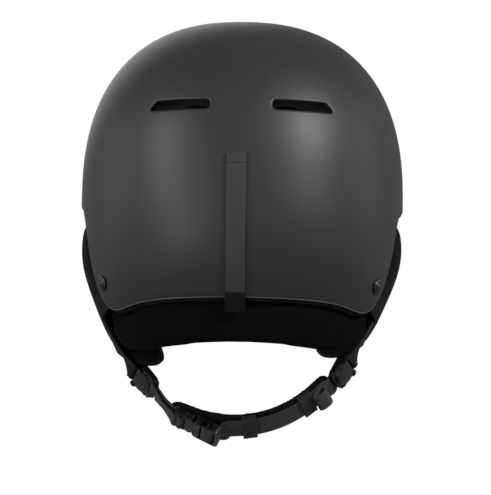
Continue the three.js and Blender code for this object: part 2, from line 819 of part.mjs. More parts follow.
// ---- goggle retainer ---------------------------------------------------------------------
// Point on the back of the shell, out from the surface, for the retainer's own section plane.
function backFrame(z, lift) {
  const step = 0.5;
  const point = (height) => {
    const axes = planAxes(height, 0);
    return new THREE.Vector3(RETAINER.x, -axes.rear, height);
  };
  const upward = point(z + step).sub(point(z - step)).normalize();
  const normal = new THREE.Vector3(0, -upward.z, upward.y);
  return { point: point(z).addScaledVector(normal, lift), normal, across: new THREE.Vector3(1, 0, 0) };
}

function backBand(topZ, bottomZ, lift, width, thickness, steps) {
  const frames = Array.from({ length: steps + 1 }, (_, k) => backFrame(
    THREE.MathUtils.lerp(topZ, bottomZ, k / steps), lift,
  ));
  return ribbon(frames, width, thickness);
}

function retainerAnchorGeometry() {
  return backBand(RETAINER.topZ + 7, RETAINER.topZ + 0.4, 1.7, RETAINER.width + 2, 2.4, 3);
}

// ---- assembly ----------------------------------------------------------------------------
function material(color, roughness, metalness = 0) {
  return new THREE.MeshStandardMaterial({ color, roughness, metalness });
}

const group = new THREE.Group();

function addPart(name, geometry, color, roughness, metalness) {
  geometry.computeVertexNormals();
  const mesh = new THREE.Mesh(geometry, material(color, roughness, metalness));
  mesh.name = name;
  group.add(mesh);
  return mesh;
}

const strapFrames = {};
for (const side of ['left', 'right']) {
  for (const end of ['front', 'rear']) strapFrames[`${end}_${side}`] = sideStrapFrames(side, end);
}

function linerGeometry() {
  const pockets = RIVETS.map(({ at, sign }) => placeOnShell(cylinder(6.4, -11.6, 1), at, sign));
  const channels = Object.values(strapFrames).map((frames) => ribbon(frames.slice(0, 9), 18.5, 6));
  const foam = cup(FOAM.outerInset, FOAM.innerInset, FOAM.edgeLift, SHELL_ROWS);
  return subtract(foam, ...ventCutters, ...pockets, ...channels);
}

function sideStrapGeometry(key, at, sign) {
  const strap = ribbon(strapFrames[key], WEBBING.width, WEBBING.thickness);
  const hole = placeOnShell(cylinder(RIVET.shankRadius + GAP, -12, 2), at, sign);
  return subtract(strap, hole);
}

addPart('shell', shellGeometry(), 0x3a3836, 0.6);
addPart('eps_liner', linerGeometry(), 0x1c1c1c, 0.95);
addPart('crown_pad', crownPadGeometry(), 0x141617, 1);
addPart('brow_pad', linerPad(52, 128, 12, -69, -44), 0x141617, 1);
addPart('rear_pad', linerPad(-128, -52, 12, -150, -112), 0x141617, 1);
addPart('side_pad_right', linerPad(-16, 32, 7, -93, -62), 0x141617, 1);
addPart('side_pad_left', linerPad(148, 196, 7, -93, -62), 0x141617, 1);
addPart('roll_carrier', rollCarrierGeometry(), 0x2c2722, 0.8);
addPart('neck_roll', neckRollGeometry(), 0x15191a, 1);
for (const side of ['left', 'right']) {
  const sign = side === 'left' ? -1 : 1;
  addPart(`ear_pad_${side}`, earPadGeometry(side), 0x15191a, 1);
  addPart(`strap_front_${side}`, sideStrapGeometry(`front_${side}`, FRONT_RIVET, sign), 0x1b1b1b, 0.9);
  addPart(`strap_rear_${side}`, sideStrapGeometry(`rear_${side}`, REAR_RIVET, sign), 0x1b1b1b, 0.9);
  addPart(`divider_body_${side}`, dividerBodyGeometry(side), 0x222021, 0.45);
  addPart(`divider_lever_${side}`, dividerLeverGeometry(side), 0x222021, 0.35);
}
for (const rivet of RIVETS) addPart(rivet.name, rivetGeometry(rivet), 0x1c1b1c, 0.35, 0.3);

addPart('retainer_anchor', retainerAnchorGeometry(), 0x262626, 0.7);
addPart(
  'retainer_strap',
  backBand(RETAINER.topZ, RETAINER.strapEndZ, 1.4, RETAINER.width, RETAINER.thickness, 12),
  0x42403e, 0.8,
);
addPart(
  'retainer_tab',
  backBand(RETAINER.strapEndZ - 0.4, RETAINER.tabEndZ, 2, RETAINER.width + 1, 3, 3),
  0x141a1b, 0.6,
);

addPart('chin_webbing', mainWebbingGeometry(), 0x2d2d2b, 0.95);
addPart('chin_webbing_left', leftWebbingGeometry(), 0x2d2d2b, 0.95);
addPart('chin_pad', chinPadGeometry(), 0x14191b, 1);
addPart('keeper_centre', keeperGeometry(KEEPER_ANGLES[0]), 0x202020, 0.9);
addPart('keeper_right', keeperGeometry(KEEPER_ANGLES[1]), 0x202020, 0.9);
addPart('strap_tail_loop', tailLoopGeometry(), 0x2d2d2b, 0.95);

const buckleParts = [
  ['buckle_female', femaleGeometry()], ['buckle_male', maleGeometry()],
  ['buckle_prong_back', prongGeometry(1)], ['buckle_prong_front', prongGeometry(-1)],
];
for (const [name, geometry] of buckleParts) {
  const mesh = addPart(name, geometry, 0x232122, 0.4);
  mesh.applyMatrix4(buckleMatrix);
}

export default group;
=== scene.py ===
"""Looks of a ski helmet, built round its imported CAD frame.

Shapes are worked out in millimetres in the CAD frame (+Z up, +Y the wearer's front, +X the
wearer's right) and turned to metres when a mesh is made.
"""
import math

import bmesh
import bpy
import numpy as np
from mathutils import Matrix, Vector, kdtree


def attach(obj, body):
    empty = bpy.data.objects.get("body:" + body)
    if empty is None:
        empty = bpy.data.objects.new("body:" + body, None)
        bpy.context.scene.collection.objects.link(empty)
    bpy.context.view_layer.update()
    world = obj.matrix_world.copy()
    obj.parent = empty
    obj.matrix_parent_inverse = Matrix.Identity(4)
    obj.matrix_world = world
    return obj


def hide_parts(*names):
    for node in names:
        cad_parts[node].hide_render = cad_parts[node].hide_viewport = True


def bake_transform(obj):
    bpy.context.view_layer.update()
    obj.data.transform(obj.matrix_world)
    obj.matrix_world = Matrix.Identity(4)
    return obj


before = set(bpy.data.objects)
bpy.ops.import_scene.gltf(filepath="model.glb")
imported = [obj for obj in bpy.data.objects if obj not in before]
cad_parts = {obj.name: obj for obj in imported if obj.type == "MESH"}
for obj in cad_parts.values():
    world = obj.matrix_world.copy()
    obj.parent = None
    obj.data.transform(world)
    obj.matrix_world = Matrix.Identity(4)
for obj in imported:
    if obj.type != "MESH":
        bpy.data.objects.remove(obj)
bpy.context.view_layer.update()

MM = 0.001

# ---- driving dimensions, millimetres ------------------------------------------------------
WAIST_Z = -91
HALF_WIDTH, FRONT_LENGTH, REAR_LENGTH = 113, 136, 140
CROWN_HEIGHT = 126
PLAN_POWER, CROWN_POWER, TUCK_POWER = 2.3, 2.45, 2.3
SIDE_DROP, FRONT_DROP, REAR_DROP = 330, 200, 132
TUCK_SCALE = 110
SHELL_THICKNESS = 2.5
FOAM_OUTER, FOAM_INNER, FOAM_EDGE_LIFT = 3.4, 27, 1.6
PAD_OUTER, PAD_INNER = 28.5, 33.6
REAR_ANGLE = -90
ROLL_REACH, STRIP_REACH, LIP_BEAD_REACH = 59, 56, 58

# Lower edge of the shell on one side, from the nape to the brow: (y, z).
TRIM = [
    (-124, -166), (-106, -168.5), (-88, -173), (-84, -172.5), (-81, -170), (-74, -154.6),
    (-68, -138), (-62, -121.7), (-55, -110), (-47, -102.7), (-38, -98.2), (-28, -97),
    (52, -97), (68, -94.5), (84, -86), (96, -78.5), (112, -73.5), (136, -72),
]

VENT_INNER_X, VENT_OUTER_LOW_X, VENT_OUTER_HIGH_X = 20.5, 61, 55.5
VENT_Z, VENT_HEIGHT, VENT_LIP = -41, 6.4, 1.5
REAR_RIVET, FRONT_RIVET = (-82.6, -155), (54, -86)
RETAINER_X, RETAINER_WIDTH = -2.4, 12
RETAINER_TOP, RETAINER_STRAP_END, RETAINER_TAB_END = -81, -162.5, -174

LOOP_CENTRE = np.array([-4.2, 10.0, -168.5])
LOOP_RADIUS = 83
LOOP_LEAN, LOOP_ROLL = math.radians(14), math.radians(28)
WEBBING_WIDTH, WEBBING_THICKNESS = 16, 1.6
BUCKLE_ANGLE, BUCKLE_TURN, BUCKLE_LIFT = -17.1, -9, 3.5
BUCKLE_TILT, LEFT_WEBBING_LIFT = math.radians(15), 2.1
BUCKLE_WIDTH, BUCKLE_THICKNESS = 20, 7
KEEPERS = {"keeper_centre": 8, "keeper_right": 38.5}
KEEPER_WIDTH, KEEPER_HEIGHT, KEEPER_LENGTH, KEEPER_MIDDLE = 18, 4.4, 10, -0.5
TAIL_LOOP_ANGLE, TAIL_LOOP_LIFT, TAIL_LOOP_LENGTH, TAIL_LOOP_HEIGHT = 45.4, 4.8, 11.5, 6.4
CHIN_PAD_ENDS = (-33.5, 56)
MALE_END_X, MOUTH_X, FEMALE_END_X = -17.5, -2, 18
DIVIDER_LENGTH, DIVIDER_WIDTH, DIVIDER_THICKNESS = 21, 20, 4
RIGHT_DIVIDER_ANGLE = 62

# Stations down an ear pad: mid-thickness x and z, thickness, rear and front y.
EAR_STATIONS = np.array([
    (97, -101, 9, -40, 56), (100.5, -113, 19, -49, 55), (100.5, -132, 20, -60, 50),
    (92, -158, 20, -65, 40), (81.5, -179, 18, -50, 31), (70, -190.5, 17, -38, 25),
    (58.5, -193.5, 14, -34, 19), (52.5, -192.5, 7, -27, 13),
], float)
EAR_TOP_Z = -97
EAR_DROP = {"left": 1.02, "right": 0.95}
EAR_TUCK = (14, 10, 5)  # how far extra rings rise above the top, behind the shell
EAR_SWELL, EAR_LOBE = -0.6, 3.4  # growth of the outer face, all over and low down
SIDES = {"left": -1, "right": 1}


# ---- curves -------------------------------------------------------------------------------
def catmull(points, count):
    """Points on a centripetal Catmull-Rom curve, the same number between each two."""
    points = np.asarray(points, float)
    run = np.vstack([2 * points[0] - points[1], points, 2 * points[-1] - points[-2]])
    last = len(points) - 1
    result = []
    for t in np.linspace(0, last, count):
        i = min(int(t), last - 1)
        row = run[i:i + 4]
        knots = np.cumsum([0] + [max(np.linalg.norm(b - a), 1e-6) ** 0.5 for a, b in zip(row, row[1:])])
        k = knots[1] + (t - i) * (knots[2] - knots[1])
        for span in (1, 2):
            row = [((high - k) * a + (k - low) * b) / (high - low)
                   for a, b, low, high in zip(row, row[1:], knots, knots[span:])]
        result.append(((knots[2] - k) * row[0] + (k - knots[1]) * row[1]) / (knots[2] - knots[1]))
    return np.array(result)


def smoothstep(value, low, high):
    t = np.clip((value - low) / (high - low), 0, 1)
    return t * t * (3 - 2 * t)


def unit(vector):
    vector = np.asarray(vector, float)
    return vector / np.linalg.norm(vector, axis=-1, keepdims=True)


# ---- shell surface ------------------------------------------------------------------------
TRIM_CURVE = catmull([(y, z, 0) for y, z in TRIM], 900)
TRIM_ORDER = np.argsort(TRIM_CURVE[:, 0])


def trim_at(y):
    return np.interp(y, TRIM_CURVE[TRIM_ORDER, 0], TRIM_CURVE[TRIM_ORDER, 1])


def plan_axes(z, inset=0.0):
    """Half-width, front length and rear length of the plan outline at a height."""
    z = np.asarray(z, float)
    rise = np.clip((z - WAIST_Z) / (CROWN_HEIGHT - inset), 0, 1)
    crown = (1 - rise ** CROWN_POWER) ** (1 / CROWN_POWER)
    above = z >= WAIST_Z
    axes = []
    for length, drop in ((HALF_WIDTH, SIDE_DROP), (FRONT_LENGTH, FRONT_DROP), (REAR_LENGTH, REAR_DROP)):
        fall = np.clip((WAIST_Z - z) / drop, 0, 1)
        tuck = (1 - fall ** TUCK_POWER) ** (1 / TUCK_POWER)
        axes.append(np.where(above, (length - inset) * crown, length * tuck - inset))
    return axes


def shell_point(angle, z, inset=0.0):
    side, front, rear = plan_axes(z, inset)
    c, s = np.cos(angle), np.sin(angle)
    power = 2 / PLAN_POWER
    x = np.sign(c) * side * np.abs(c) ** power
    y = np.sign(s) * np.where(s > 0, front, rear) * np.abs(s) ** power
    return np.stack(np.broadcast_arrays(x, y, z), -1).astype(float)


def shell_point_at(y, z, inset, sign):
    side, front, rear = plan_axes(z, inset)
    ratio = np.clip(np.abs(y) / np.where(np.asarray(y) > 0, front, rear), 0, 1)
    x = sign * side * (1 - ratio ** PLAN_POWER) ** (1 / PLAN_POWER)
    return np.stack(np.broadcast_arrays(x, y, z), -1).astype(float)


def shell_normal_at(y, z, sign):
    step = 0.5
    along_y = shell_point_at(y + step, z, 0, sign) - shell_point_at(y - step, z, 0, sign)
    along_z = shell_point_at(y, z + step, 0, sign) - shell_point_at(y, z - step, 0, sign)
    normal = unit(np.cross(along_y, along_z))
    return -normal if normal[0] * sign < 0 else normal


def trim_height(angle):
    z = np.full_like(np.asarray(angle, float), WAIST_Z)
    for _ in range(40):
        z = z + 0.6 * (trim_at(shell_point(angle, z)[..., 1]) - z)
    return z


def shell_columns(density):
    """Plan angles of the grid's columns, closer together along the ear cut-outs."""
    side = []
    for low, high, steps in ((-90, -46, 6), (-46, -12, 11), (-12, 56, 8), (56, 90, 4)):
        side.extend(np.linspace(low, high, steps * density, endpoint=False))
    side = np.array(side)
    return np.radians(np.concatenate([side, [90], (180 - side[1:])[::-1]]))


def shell_ring(columns, t, inset, edge_lift):
    """Ring of points between the crown (t = 0) and the trim edge (t = 1)."""
    height = CROWN_HEIGHT - inset
    edge = trim_height(columns) + edge_lift
    rise = (edge - WAIST_Z) / height
    course_edge = np.where(
        rise > 0, np.arcsin(np.clip(rise, 0, 1) ** (CROWN_POWER / 2)), (edge - WAIST_Z) / TUCK_SCALE)
    course = math.pi / 2 + (course_edge - math.pi / 2) * t
    high = WAIST_Z + height * np.sin(np.clip(course, 0, None)) ** (2 / CROWN_POWER)
    return shell_point(columns, np.where(course > 0, high, WAIST_Z + course * TUCK_SCALE), inset)


# ---- meshes -------------------------------------------------------------------------------
def add_object(name, data):
    obj = bpy.data.objects.new(name, data)
    bpy.context.scene.collection.objects.link(obj)
    return obj


def new_piece(name, points, faces, material, smooth):
    mesh = bpy.data.meshes.new(name)
    mesh.from_pydata([tuple(p) for p in np.asarray(points) * MM], [], faces)
    mesh.validate()
    obj = add_object(name, mesh)
    mesh.materials.append(material)
    if smooth:
        mesh.polygons.foreach_set("use_smooth", [True] * len(mesh.polygons))
    face_outwards(mesh)
    return obj


def face_outwards(mesh):
    bm = bmesh.new()
    bm.from_mesh(mesh)
    bmesh.ops.recalc_face_normals(bm, faces=bm.faces)
    bm.to_mesh(mesh)
    bm.free()


def ring_faces(count, size):
    """Quads between closed rings of size points each."""
    return [(i * size + j, i * size + (j + 1) % size, (i + 1) * size + (j + 1) % size, (i + 1) * size + j)
            for i in range(count - 1) for j in range(size)]


def loft(name, rings, material, caps=(True, True), smooth=True):
    """Closed rings joined into a skin; a capped end closes to a point in its middle."""
    rings = [np.asarray(ring, float) for ring in rings]
    size = len(rings[0])
    points = np.vstack(rings)
    faces = ring_faces(len(rings), size)
    for row, capped in ((0, caps[0]), (len(rings) - 1, caps[1])):
        if capped:
            points = np.vstack([points, rings[row].mean(0)])
            hub = len(points) - 1
            faces += [(row * size + j, row * size + (j + 1) % size, hub) for j in range(size)]
    return new_piece(name, points, faces, material, smooth)


def soft_section(count, power):
    """Superellipse outline, 1 across and 1 high either way; a higher power makes it squarer."""
    angle = np.linspace(0, 2 * math.pi, count, endpoint=False)
    c, s = np.cos(angle), np.sin(angle)
    return np.sign(c) * np.abs(c) ** (2 / power), np.sign(s) * np.abs(s) ** (2 / power)


def apply_modifiers(obj):
    """Replaces an object's mesh by what its modifiers make of it."""
    depsgraph = bpy.context.evaluated_depsgraph_get()
    mesh = bpy.data.meshes.new_from_object(obj.evaluated_get(depsgraph))
    obj.modifiers.clear()
    old = obj.data
    obj.data = mesh
    bpy.data.meshes.remove(old)


def vertex_rows(obj, key="co"):
    rows = np.zeros(len(obj.data.vertices) * 3)
    obj.data.vertices.foreach_get(key, rows)
    return rows.reshape(-1, 3)


def set_points(obj, points):
    obj.data.vertices.foreach_set("co", points.ravel())
    obj.data.update()


def modify(obj, kind, **settings):
    """Adds one modifier and applies it."""
    modifier = obj.modifiers.new(kind, kind)
    for key, value in settings.items():
        setattr(modifier, key, value)
    apply_modifiers(obj)


def subdivide(obj):
    modify(obj, "SUBSURF", levels=1, render_levels=1)


def bevel_edges(obj, width, angle=35):
    """Rounds the edges that turn by more than angle degrees."""
    limit = math.radians(angle)
    modify(obj, "BEVEL", width=width * MM, segments=3, limit_method="ANGLE", angle_limit=limit)
    obj.data.polygons.foreach_set("use_smooth", [True] * len(obj.data.polygons))
    set_sharp(obj, 40)
    return obj


def set_sharp(obj, degrees):
    obj.data.set_sharp_from_angle(angle=math.radians(degrees))


def cut(obj, *cutters):
    for cutter in cutters:
        modifier = obj.modifiers.new("Cut", "BOOLEAN")
        modifier.operation = "DIFFERENCE"
        modifier.solver = "EXACT"
        modifier.object = cutter
    apply_modifiers(obj)
    for cutter in cutters:
        bpy.data.objects.remove(cutter)


def tube(name, path, radius, material):
    """Round piping along an open path in millimetres."""
    path = np.asarray(path, float)
    along = unit(np.gradient(path, axis=0))
    first = unit(np.cross(along, [0.0, 0.0, 1.0]))
    second = np.cross(along, first)
    angles = np.linspace(0, 2 * math.pi, 8, endpoint=False)
    rings = [path[i] + radius * (np.outer(np.cos(angles), first[i]) + np.outer(np.sin(angles), second[i]))
             for i in range(len(path))]
    return loft(name, rings, material)


def extrude_outline(name, outline, depth, material, axes, centre=0.0):
    """Closed outline [(x, y)] extruded by depth along z, in millimetres, then placed."""
    outline = np.asarray(outline, float)
    size = len(outline)
    low = np.column_stack([outline, np.full(size, centre - depth / 2)])
    high = np.column_stack([outline, np.full(size, centre + depth / 2)])
    faces = ring_faces(2, size) + [tuple(range(size)), tuple(range(size, 2 * size))]
    return new_piece(name, place(np.vstack([low, high]), axes), faces, material, smooth=False)


def rounded_outline(length, width, radius, steps, x=0.0, y=0.0):
    outline = []
    for quarter, (sx, sy) in enumerate(((1, 1), (-1, 1), (-1, -1), (1, -1))):
        for k in range(steps + 1):
            angle = (quarter + k / steps) * math.pi / 2
            outline.append((x + sx * (length / 2 - radius) + radius * math.cos(angle),
                            y + sy * (width / 2 - radius) + radius * math.sin(angle)))
    return outline


def place(points, axes):
    """Local millimetre points through (origin, x, y, z) axes."""
    origin, x, y, z = axes
    points = np.asarray(points, float)
    return origin + points[..., :1] * x + points[..., 1:2] * y + points[..., 2:3] * z


def join_pieces(name, pieces):
    """One piece from several, keeping their shapes as they are."""
    bm = bmesh.new()
    for piece in pieces:
        bm.from_mesh(piece.data)
    mesh = bpy.data.meshes.new(name)
    bm.to_mesh(mesh)
    bm.free()
    for material in pieces[0].data.materials:
        mesh.materials.append(material)
    obj = add_object(name, mesh)
    for piece in pieces:
        bpy.data.objects.remove(piece)
    return obj


def dress(obj, body, slot, *replaced):
    """Ties a rigid piece to its body and hides the CAD nodes it stands for; slot is not used."""
    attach(obj, body)
    if replaced:
        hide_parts(*replaced)


# ---- materials ----------------------------------------------------------------------------
class Nodes:
    """A small helper round one material's node tree."""

    def __init__(self, name, color, roughness, **settings):
        self.material = bpy.data.materials.new(name)
        self.material.use_nodes = True
        self.tree = self.material.node_tree
        self.shader = self.tree.nodes["Principled BSDF"]
        self.shader.inputs["Base Color"].default_value = (*color, 1)
        self.shader.inputs["Roughness"].default_value = roughness
        for key, value in settings.items():
            self.shader.inputs[key.replace("_", " ")].default_value = value
        self.material.diffuse_color = (*color, 1)
        self.coordinates = self.tree.nodes.new("ShaderNodeTexCoord").outputs["Object"]
        self.height = None

    def node(self, kind, inputs=None, **settings):
        node = self.tree.nodes.new(kind)
        for key, value in settings.items():
            setattr(node, key, value)
        for key, value in (inputs or {}).items():
            socket = node.inputs[key]
            if isinstance(value, bpy.types.NodeSocket):
                self.tree.links.new(value, socket)
            else:
                socket.default_value = value
        return node

    def math(self, operation, a, b=0.0):
        return self.node("ShaderNodeMath", {0: a, 1: b}, operation=operation).outputs[0]

    def blend(self, a, b, share):
        """Share of a and the rest of b."""
        return self.math("ADD", self.math("MULTIPLY", a, share), self.math("MULTIPLY", b, 1 - share))

    def axis(self, index):
        return self.node("ShaderNodeSeparateXYZ", {0: self.coordinates}).outputs[index]

    def noise(self, scale, detail, roughness=0.5):
        settings = {"Vector": self.coordinates, "Scale": scale, "Detail": detail, "Roughness": roughness}
        return self.node("ShaderNodeTexNoise", settings).outputs["Fac"]

    def cells(self, scale):
        settings = {"Vector": self.coordinates, "Scale": scale}
        return self.node("ShaderNodeTexVoronoi", settings).outputs["Distance"]

    def wave(self, value, period):
        """0 to 1 and back once in each period of value."""
        turned = self.math("SINE", self.math("MULTIPLY", value, 2 * math.pi / period))
        return self.math("ADD", self.math("MULTIPLY", turned, 0.5), 0.5)

    def ramp(self, value, low, high, out_low, out_high):
        return self.node("ShaderNodeMapRange", {
            "Value": value, "From Min": low, "From Max": high, "To Min": out_low, "To Max": out_high,
        }).outputs["Result"]

    def vary_color(self, value, dark, light):
        mix = self.node("ShaderNodeMix", {"Factor": value}, data_type="RGBA")
        mix.inputs[6].default_value = (*dark, 1)
        mix.inputs[7].default_value = (*light, 1)
        self.tree.links.new(mix.outputs[2], self.shader.inputs["Base Color"])

    def vary_roughness(self, value, low, high):
        self.tree.links.new(self.ramp(value, 0, 1, low, high), self.shader.inputs["Roughness"])

    def bump(self, value, strength, distance):
        """Adds a layer of relief; distance is in millimetres."""
        inputs = {"Height": value, "Strength": strength, "Distance": distance * MM}
        if self.height is not None:
            inputs["Normal"] = self.height
        self.height = self.node("ShaderNodeBump", inputs).outputs["Normal"]
        self.tree.links.new(self.height, self.shader.inputs["Normal"])

    def uv(self, axis):
        uv = self.node("ShaderNodeUVMap", uv_map="UVMap").outputs["UV"]
        return self.node("ShaderNodeSeparateXYZ", {0: uv}).outputs[axis]


def shell_paint():
    m = Nodes("shell_paint", (0.0135, 0.0127, 0.0122), 0.48, Specular_IOR_Level=0.5)
    broad = m.noise(14, 3)
    fine = m.noise(2600, 2)
    m.vary_color(broad, (0.0118, 0.0111, 0.0106), (0.0152, 0.0143, 0.0137))
    m.vary_roughness(m.blend(broad, fine, 0.5), 0.44, 0.56)
    m.bump(fine, 0.35, 0.03)
    return m.material


def foam():
    m = Nodes("foam_beads", (0.016, 0.016, 0.016), 0.8, Specular_IOR_Level=0.35)
    beads = m.cells(420)
    m.vary_color(m.ramp(beads, 0, 0.8, 0, 1), (0.020, 0.020, 0.020), (0.008, 0.008, 0.008))
    m.bump(m.ramp(beads, 0, 0.7, 1, 0), 0.7, 0.35)
    m.bump(m.noise(1400, 2), 0.3, 0.06)
    return m.material


def fleece(name, dark, light):
    m = Nodes(name, dark, 0.95, Specular_IOR_Level=0.08, Sheen_Weight=0.01, Sheen_Roughness=0.5)
    pile = m.noise(1500, 4, 0.65)
    tufts = m.noise(420, 3, 0.6)
    m.vary_color(m.blend(pile, tufts, 0.6), dark, light)
    m.bump(pile, 0.6, 0.22)
    m.bump(tufts, 0.5, 0.4)
    return m.material


def twill():
    """Fine diagonal weave that runs round the back of the neck."""
    m = Nodes("roll_twill", (0.004, 0.005, 0.0055), 0.85, Specular_IOR_Level=0.05)
    height = m.axis(2)
    turn = m.math("ARCTAN2", m.axis(0), m.math("MULTIPLY", m.axis(1), -1.0))
    along = m.math("MULTIPLY", turn, 0.1)
    diagonal = m.wave(m.math("ADD", along, m.math("MULTIPLY", height, 1.5)), 0.0017)
    cross = m.wave(m.math("SUBTRACT", along, m.math("MULTIPLY", height, 0.6)), 0.0011)
    weave = m.math("MULTIPLY", diagonal, m.ramp(cross, 0, 1, 0.6, 1))
    wear = m.noise(60, 4)
    m.vary_color(m.blend(weave, wear, 0.6), (0.0002, 0.0006, 0.0005), (0.0058, 0.0076, 0.0074))
    m.bump(weave, 0.9, 0.35)
    m.bump(m.noise(900, 3), 0.3, 0.1)
    return m.material


def webbing(name, dark, light, specular):
    """Ribbed webbing; u runs along it and v across, both in millimetres."""
    m = Nodes(name, light, 0.78, Specular_IOR_Level=specular, Sheen_Weight=0.03, Sheen_Roughness=0.4)
    along, across = m.uv(0), m.uv(1)
    shifted = m.math("ADD", along, m.math("MULTIPLY", m.math("PINGPONG", across, 1.6), 0.55))
    columns = m.wave(across, 1.6)
    yarn = m.math("MULTIPLY", m.ramp(columns, 0, 1, 0.55, 1), m.wave(shifted, 1.15))
    fuzz = m.noise(1800, 3)
    m.vary_color(m.blend(yarn, fuzz, 0.8), dark, light)
    m.bump(yarn, 0.8, 0.25)
    m.bump(fuzz, 0.4, 0.08)
    return m.material


def elastic():
    """Ribbed elastic; v runs along the strap it holds, in millimetres."""
    m = Nodes("elastic", (0.012, 0.012, 0.012), 0.7, Specular_IOR_Level=0.3, Sheen_Weight=0.03)
    ribs = m.wave(m.uv(1), 1.45)
    m.vary_color(ribs, (0.005, 0.005, 0.005), (0.042, 0.041, 0.040))
    m.bump(ribs, 0.9, 0.4)
    m.bump(m.noise(2200, 2), 0.4, 0.06)
    return m.material


def moulded(name, color, low, high, specular=0.5):
    m = Nodes(name, color, low, Specular_IOR_Level=specular)
    fine = m.noise(1700, 3)
    cloudy = m.noise(90, 3)
    m.vary_color(cloudy, tuple(c * 0.85 for c in color), tuple(c * 1.2 for c in color))
    m.vary_roughness(cloudy, low, high)
    m.bump(fine, 0.3, 0.05)
    return m.material


def strip_crumb():
    m = Nodes("edge_strip", (0.014, 0.011, 0.009), 0.9, Specular_IOR_Level=0.12)
    crumbs = m.noise(700, 5, 0.7)
    m.vary_color(crumbs, (0.0012, 0.0010, 0.0009), (0.020, 0.016, 0.013))
    m.bump(crumbs, 0.8, 0.5)
    return m.material


def retainer_rubber():
    m = Nodes("retainer_rubber", (0.024, 0.0225, 0.0215), 0.62, Specular_IOR_Level=0.4)
    rows = m.wave(m.axis(2), 0.0011)
    grain = m.noise(1300, 3)
    m.vary_color(m.blend(grain, rows, 0.7), (0.020, 0.0185, 0.0176), (0.029, 0.0275, 0.0262))
    m.bump(grain, 0.4, 0.06)
    m.bump(rows, 0.25, 0.05)
    return m.material


def lacquer():
    m = Nodes("rivet_lacquer", (0.005, 0.005, 0.005), 0.32, Specular_IOR_Level=0.5, Coat_Weight=0.1)
    m.vary_roughness(m.noise(300, 3), 0.28, 0.42)
    m.bump(m.noise(900, 2), 0.15, 0.03)
    return m.material


PAINT, FOAM, TWILL = shell_paint(), foam(), twill()
FLEECE = fleece("fleece", (0.0030, 0.0042, 0.0045), (0.0085, 0.0105, 0.0110))
EAR_CLOTH = fleece("ear_cloth", (0.0012, 0.0018, 0.0018), (0.0055, 0.0068, 0.0066))
CHIN_CLOTH = fleece("chin_cloth", (0.0035, 0.0052, 0.0058), (0.0100, 0.0130, 0.0140))
# One webbing in two colours: the chin-strap copy is lighter, painted light in place of the light its downward
# faces miss, and the side-strap copy is darker, painted shade.
WEBBING_PAINTED_LIGHT = webbing("webbing", (0.015, 0.0145, 0.0138), (0.085, 0.082, 0.078), 0.25)
SIDE_WEBBING_PAINTED_SHADE = webbing("side_webbing_painted_shade", (0.003, 0.0029, 0.0028), (0.020, 0.0194, 0.0188), 0.08)
ELASTIC = elastic()
PLASTIC = moulded("satin_plastic", (0.0100, 0.0084, 0.0082), 0.28, 0.40)
TAB_PLASTIC = moulded("tab_plastic", (0.0022, 0.0038, 0.0038), 0.56, 0.68, specular=0.16)
STRIP = strip_crumb()
RUBBER = retainer_rubber()
LACQUER = lacquer()
# Light glossy grey for the lip tube: a painted highlight along the shell's lower lip.
LIP_HIGHLIGHT_PAINT = moulded("lip_painted_highlight", (0.085, 0.082, 0.078), 0.24, 0.34)


# ---- camera, light and floor --------------------------------------------------------------
# Metres and watts: name, place, diameter, power. The helmet's back faces -Y.
LIGHTS = [
    ("key_light", (1.15, -1.15, 0.75), 0.42, 28),
    ("fill_light", (-1.62, -1.28, 0.6), 0.8, 18),
    ("low_light", (-0.9, -1.4, -0.36), 0.6, 7),
    ("right_light", (2.0, 0.3, 0.5), 1.2, 5),
    ("left_light", (-2.0, 0.3, 0.3), 1.2, 4.5),
    ("front_light", (-0.6, 1.7, 0.9), 1.4, 8),
]
LIGHT_TARGET = Vector((0, 0, -0.1))
ROOM_STRENGTH = 0.29
FLOOR_HEIGHT, FLOOR_REACH = -0.47, 9


def make_camera():
    distance, aim = 1.5, Vector((0.0025, 0, -0.121))
    elevation, yaw, roll = (math.radians(angle) for angle in (-6, 0.7, 0.8))
    level = math.cos(elevation)
    away = Vector((math.sin(yaw) * level, -math.cos(yaw) * level, math.sin(elevation)))
    data = bpy.data.cameras.new("camera")
    data.lens, data.sensor_width = 154, 36
    data.clip_start, data.clip_end = 0.05, 50
    camera = add_object("camera", data)
    camera.location = aim + away * distance
    turned = away.to_track_quat("Z", "Y").to_matrix().to_4x4() @ Matrix.Rotation(roll, 4, "Z")
    camera.matrix_world = Matrix.Translation(camera.location) @ turned
    bpy.context.scene.camera = camera


def area_light(name, place_at, size, power):
    data = bpy.data.lights.new(name, "AREA")
    data.shape, data.size, data.energy = "DISK", size, power
    light = add_object(name, data)
    light.location = place_at
    light.rotation_euler = (LIGHT_TARGET - light.location).to_track_quat("-Z", "Y").to_euler()


def make_world():
    """White to the camera, a dimmer room to everything else."""
    world = bpy.data.worlds.new("studio")
    bpy.context.scene.world = world
    world.use_nodes = True
    tree = world.node_tree
    seen = tree.nodes["Background"]
    seen.inputs["Color"].default_value = (1, 1, 1, 1)
    room = tree.nodes.new("ShaderNodeBackground")
    room.inputs["Color"].default_value = (1, 0.985, 0.97, 1)
    room.inputs["Strength"].default_value = ROOM_STRENGTH
    mix = tree.nodes.new("ShaderNodeMixShader")
    camera_rays = tree.nodes.new("ShaderNodeLightPath").outputs["Is Camera Ray"]
    tree.links.new(camera_rays, mix.inputs[0])
    tree.links.new(room.outputs[0], mix.inputs[1])
    tree.links.new(seen.outputs[0], mix.inputs[2])
    tree.links.new(mix.outputs[0], tree.nodes["World Output"].inputs["Surface"])
    bpy.context.scene.view_settings.view_transform = "Standard"


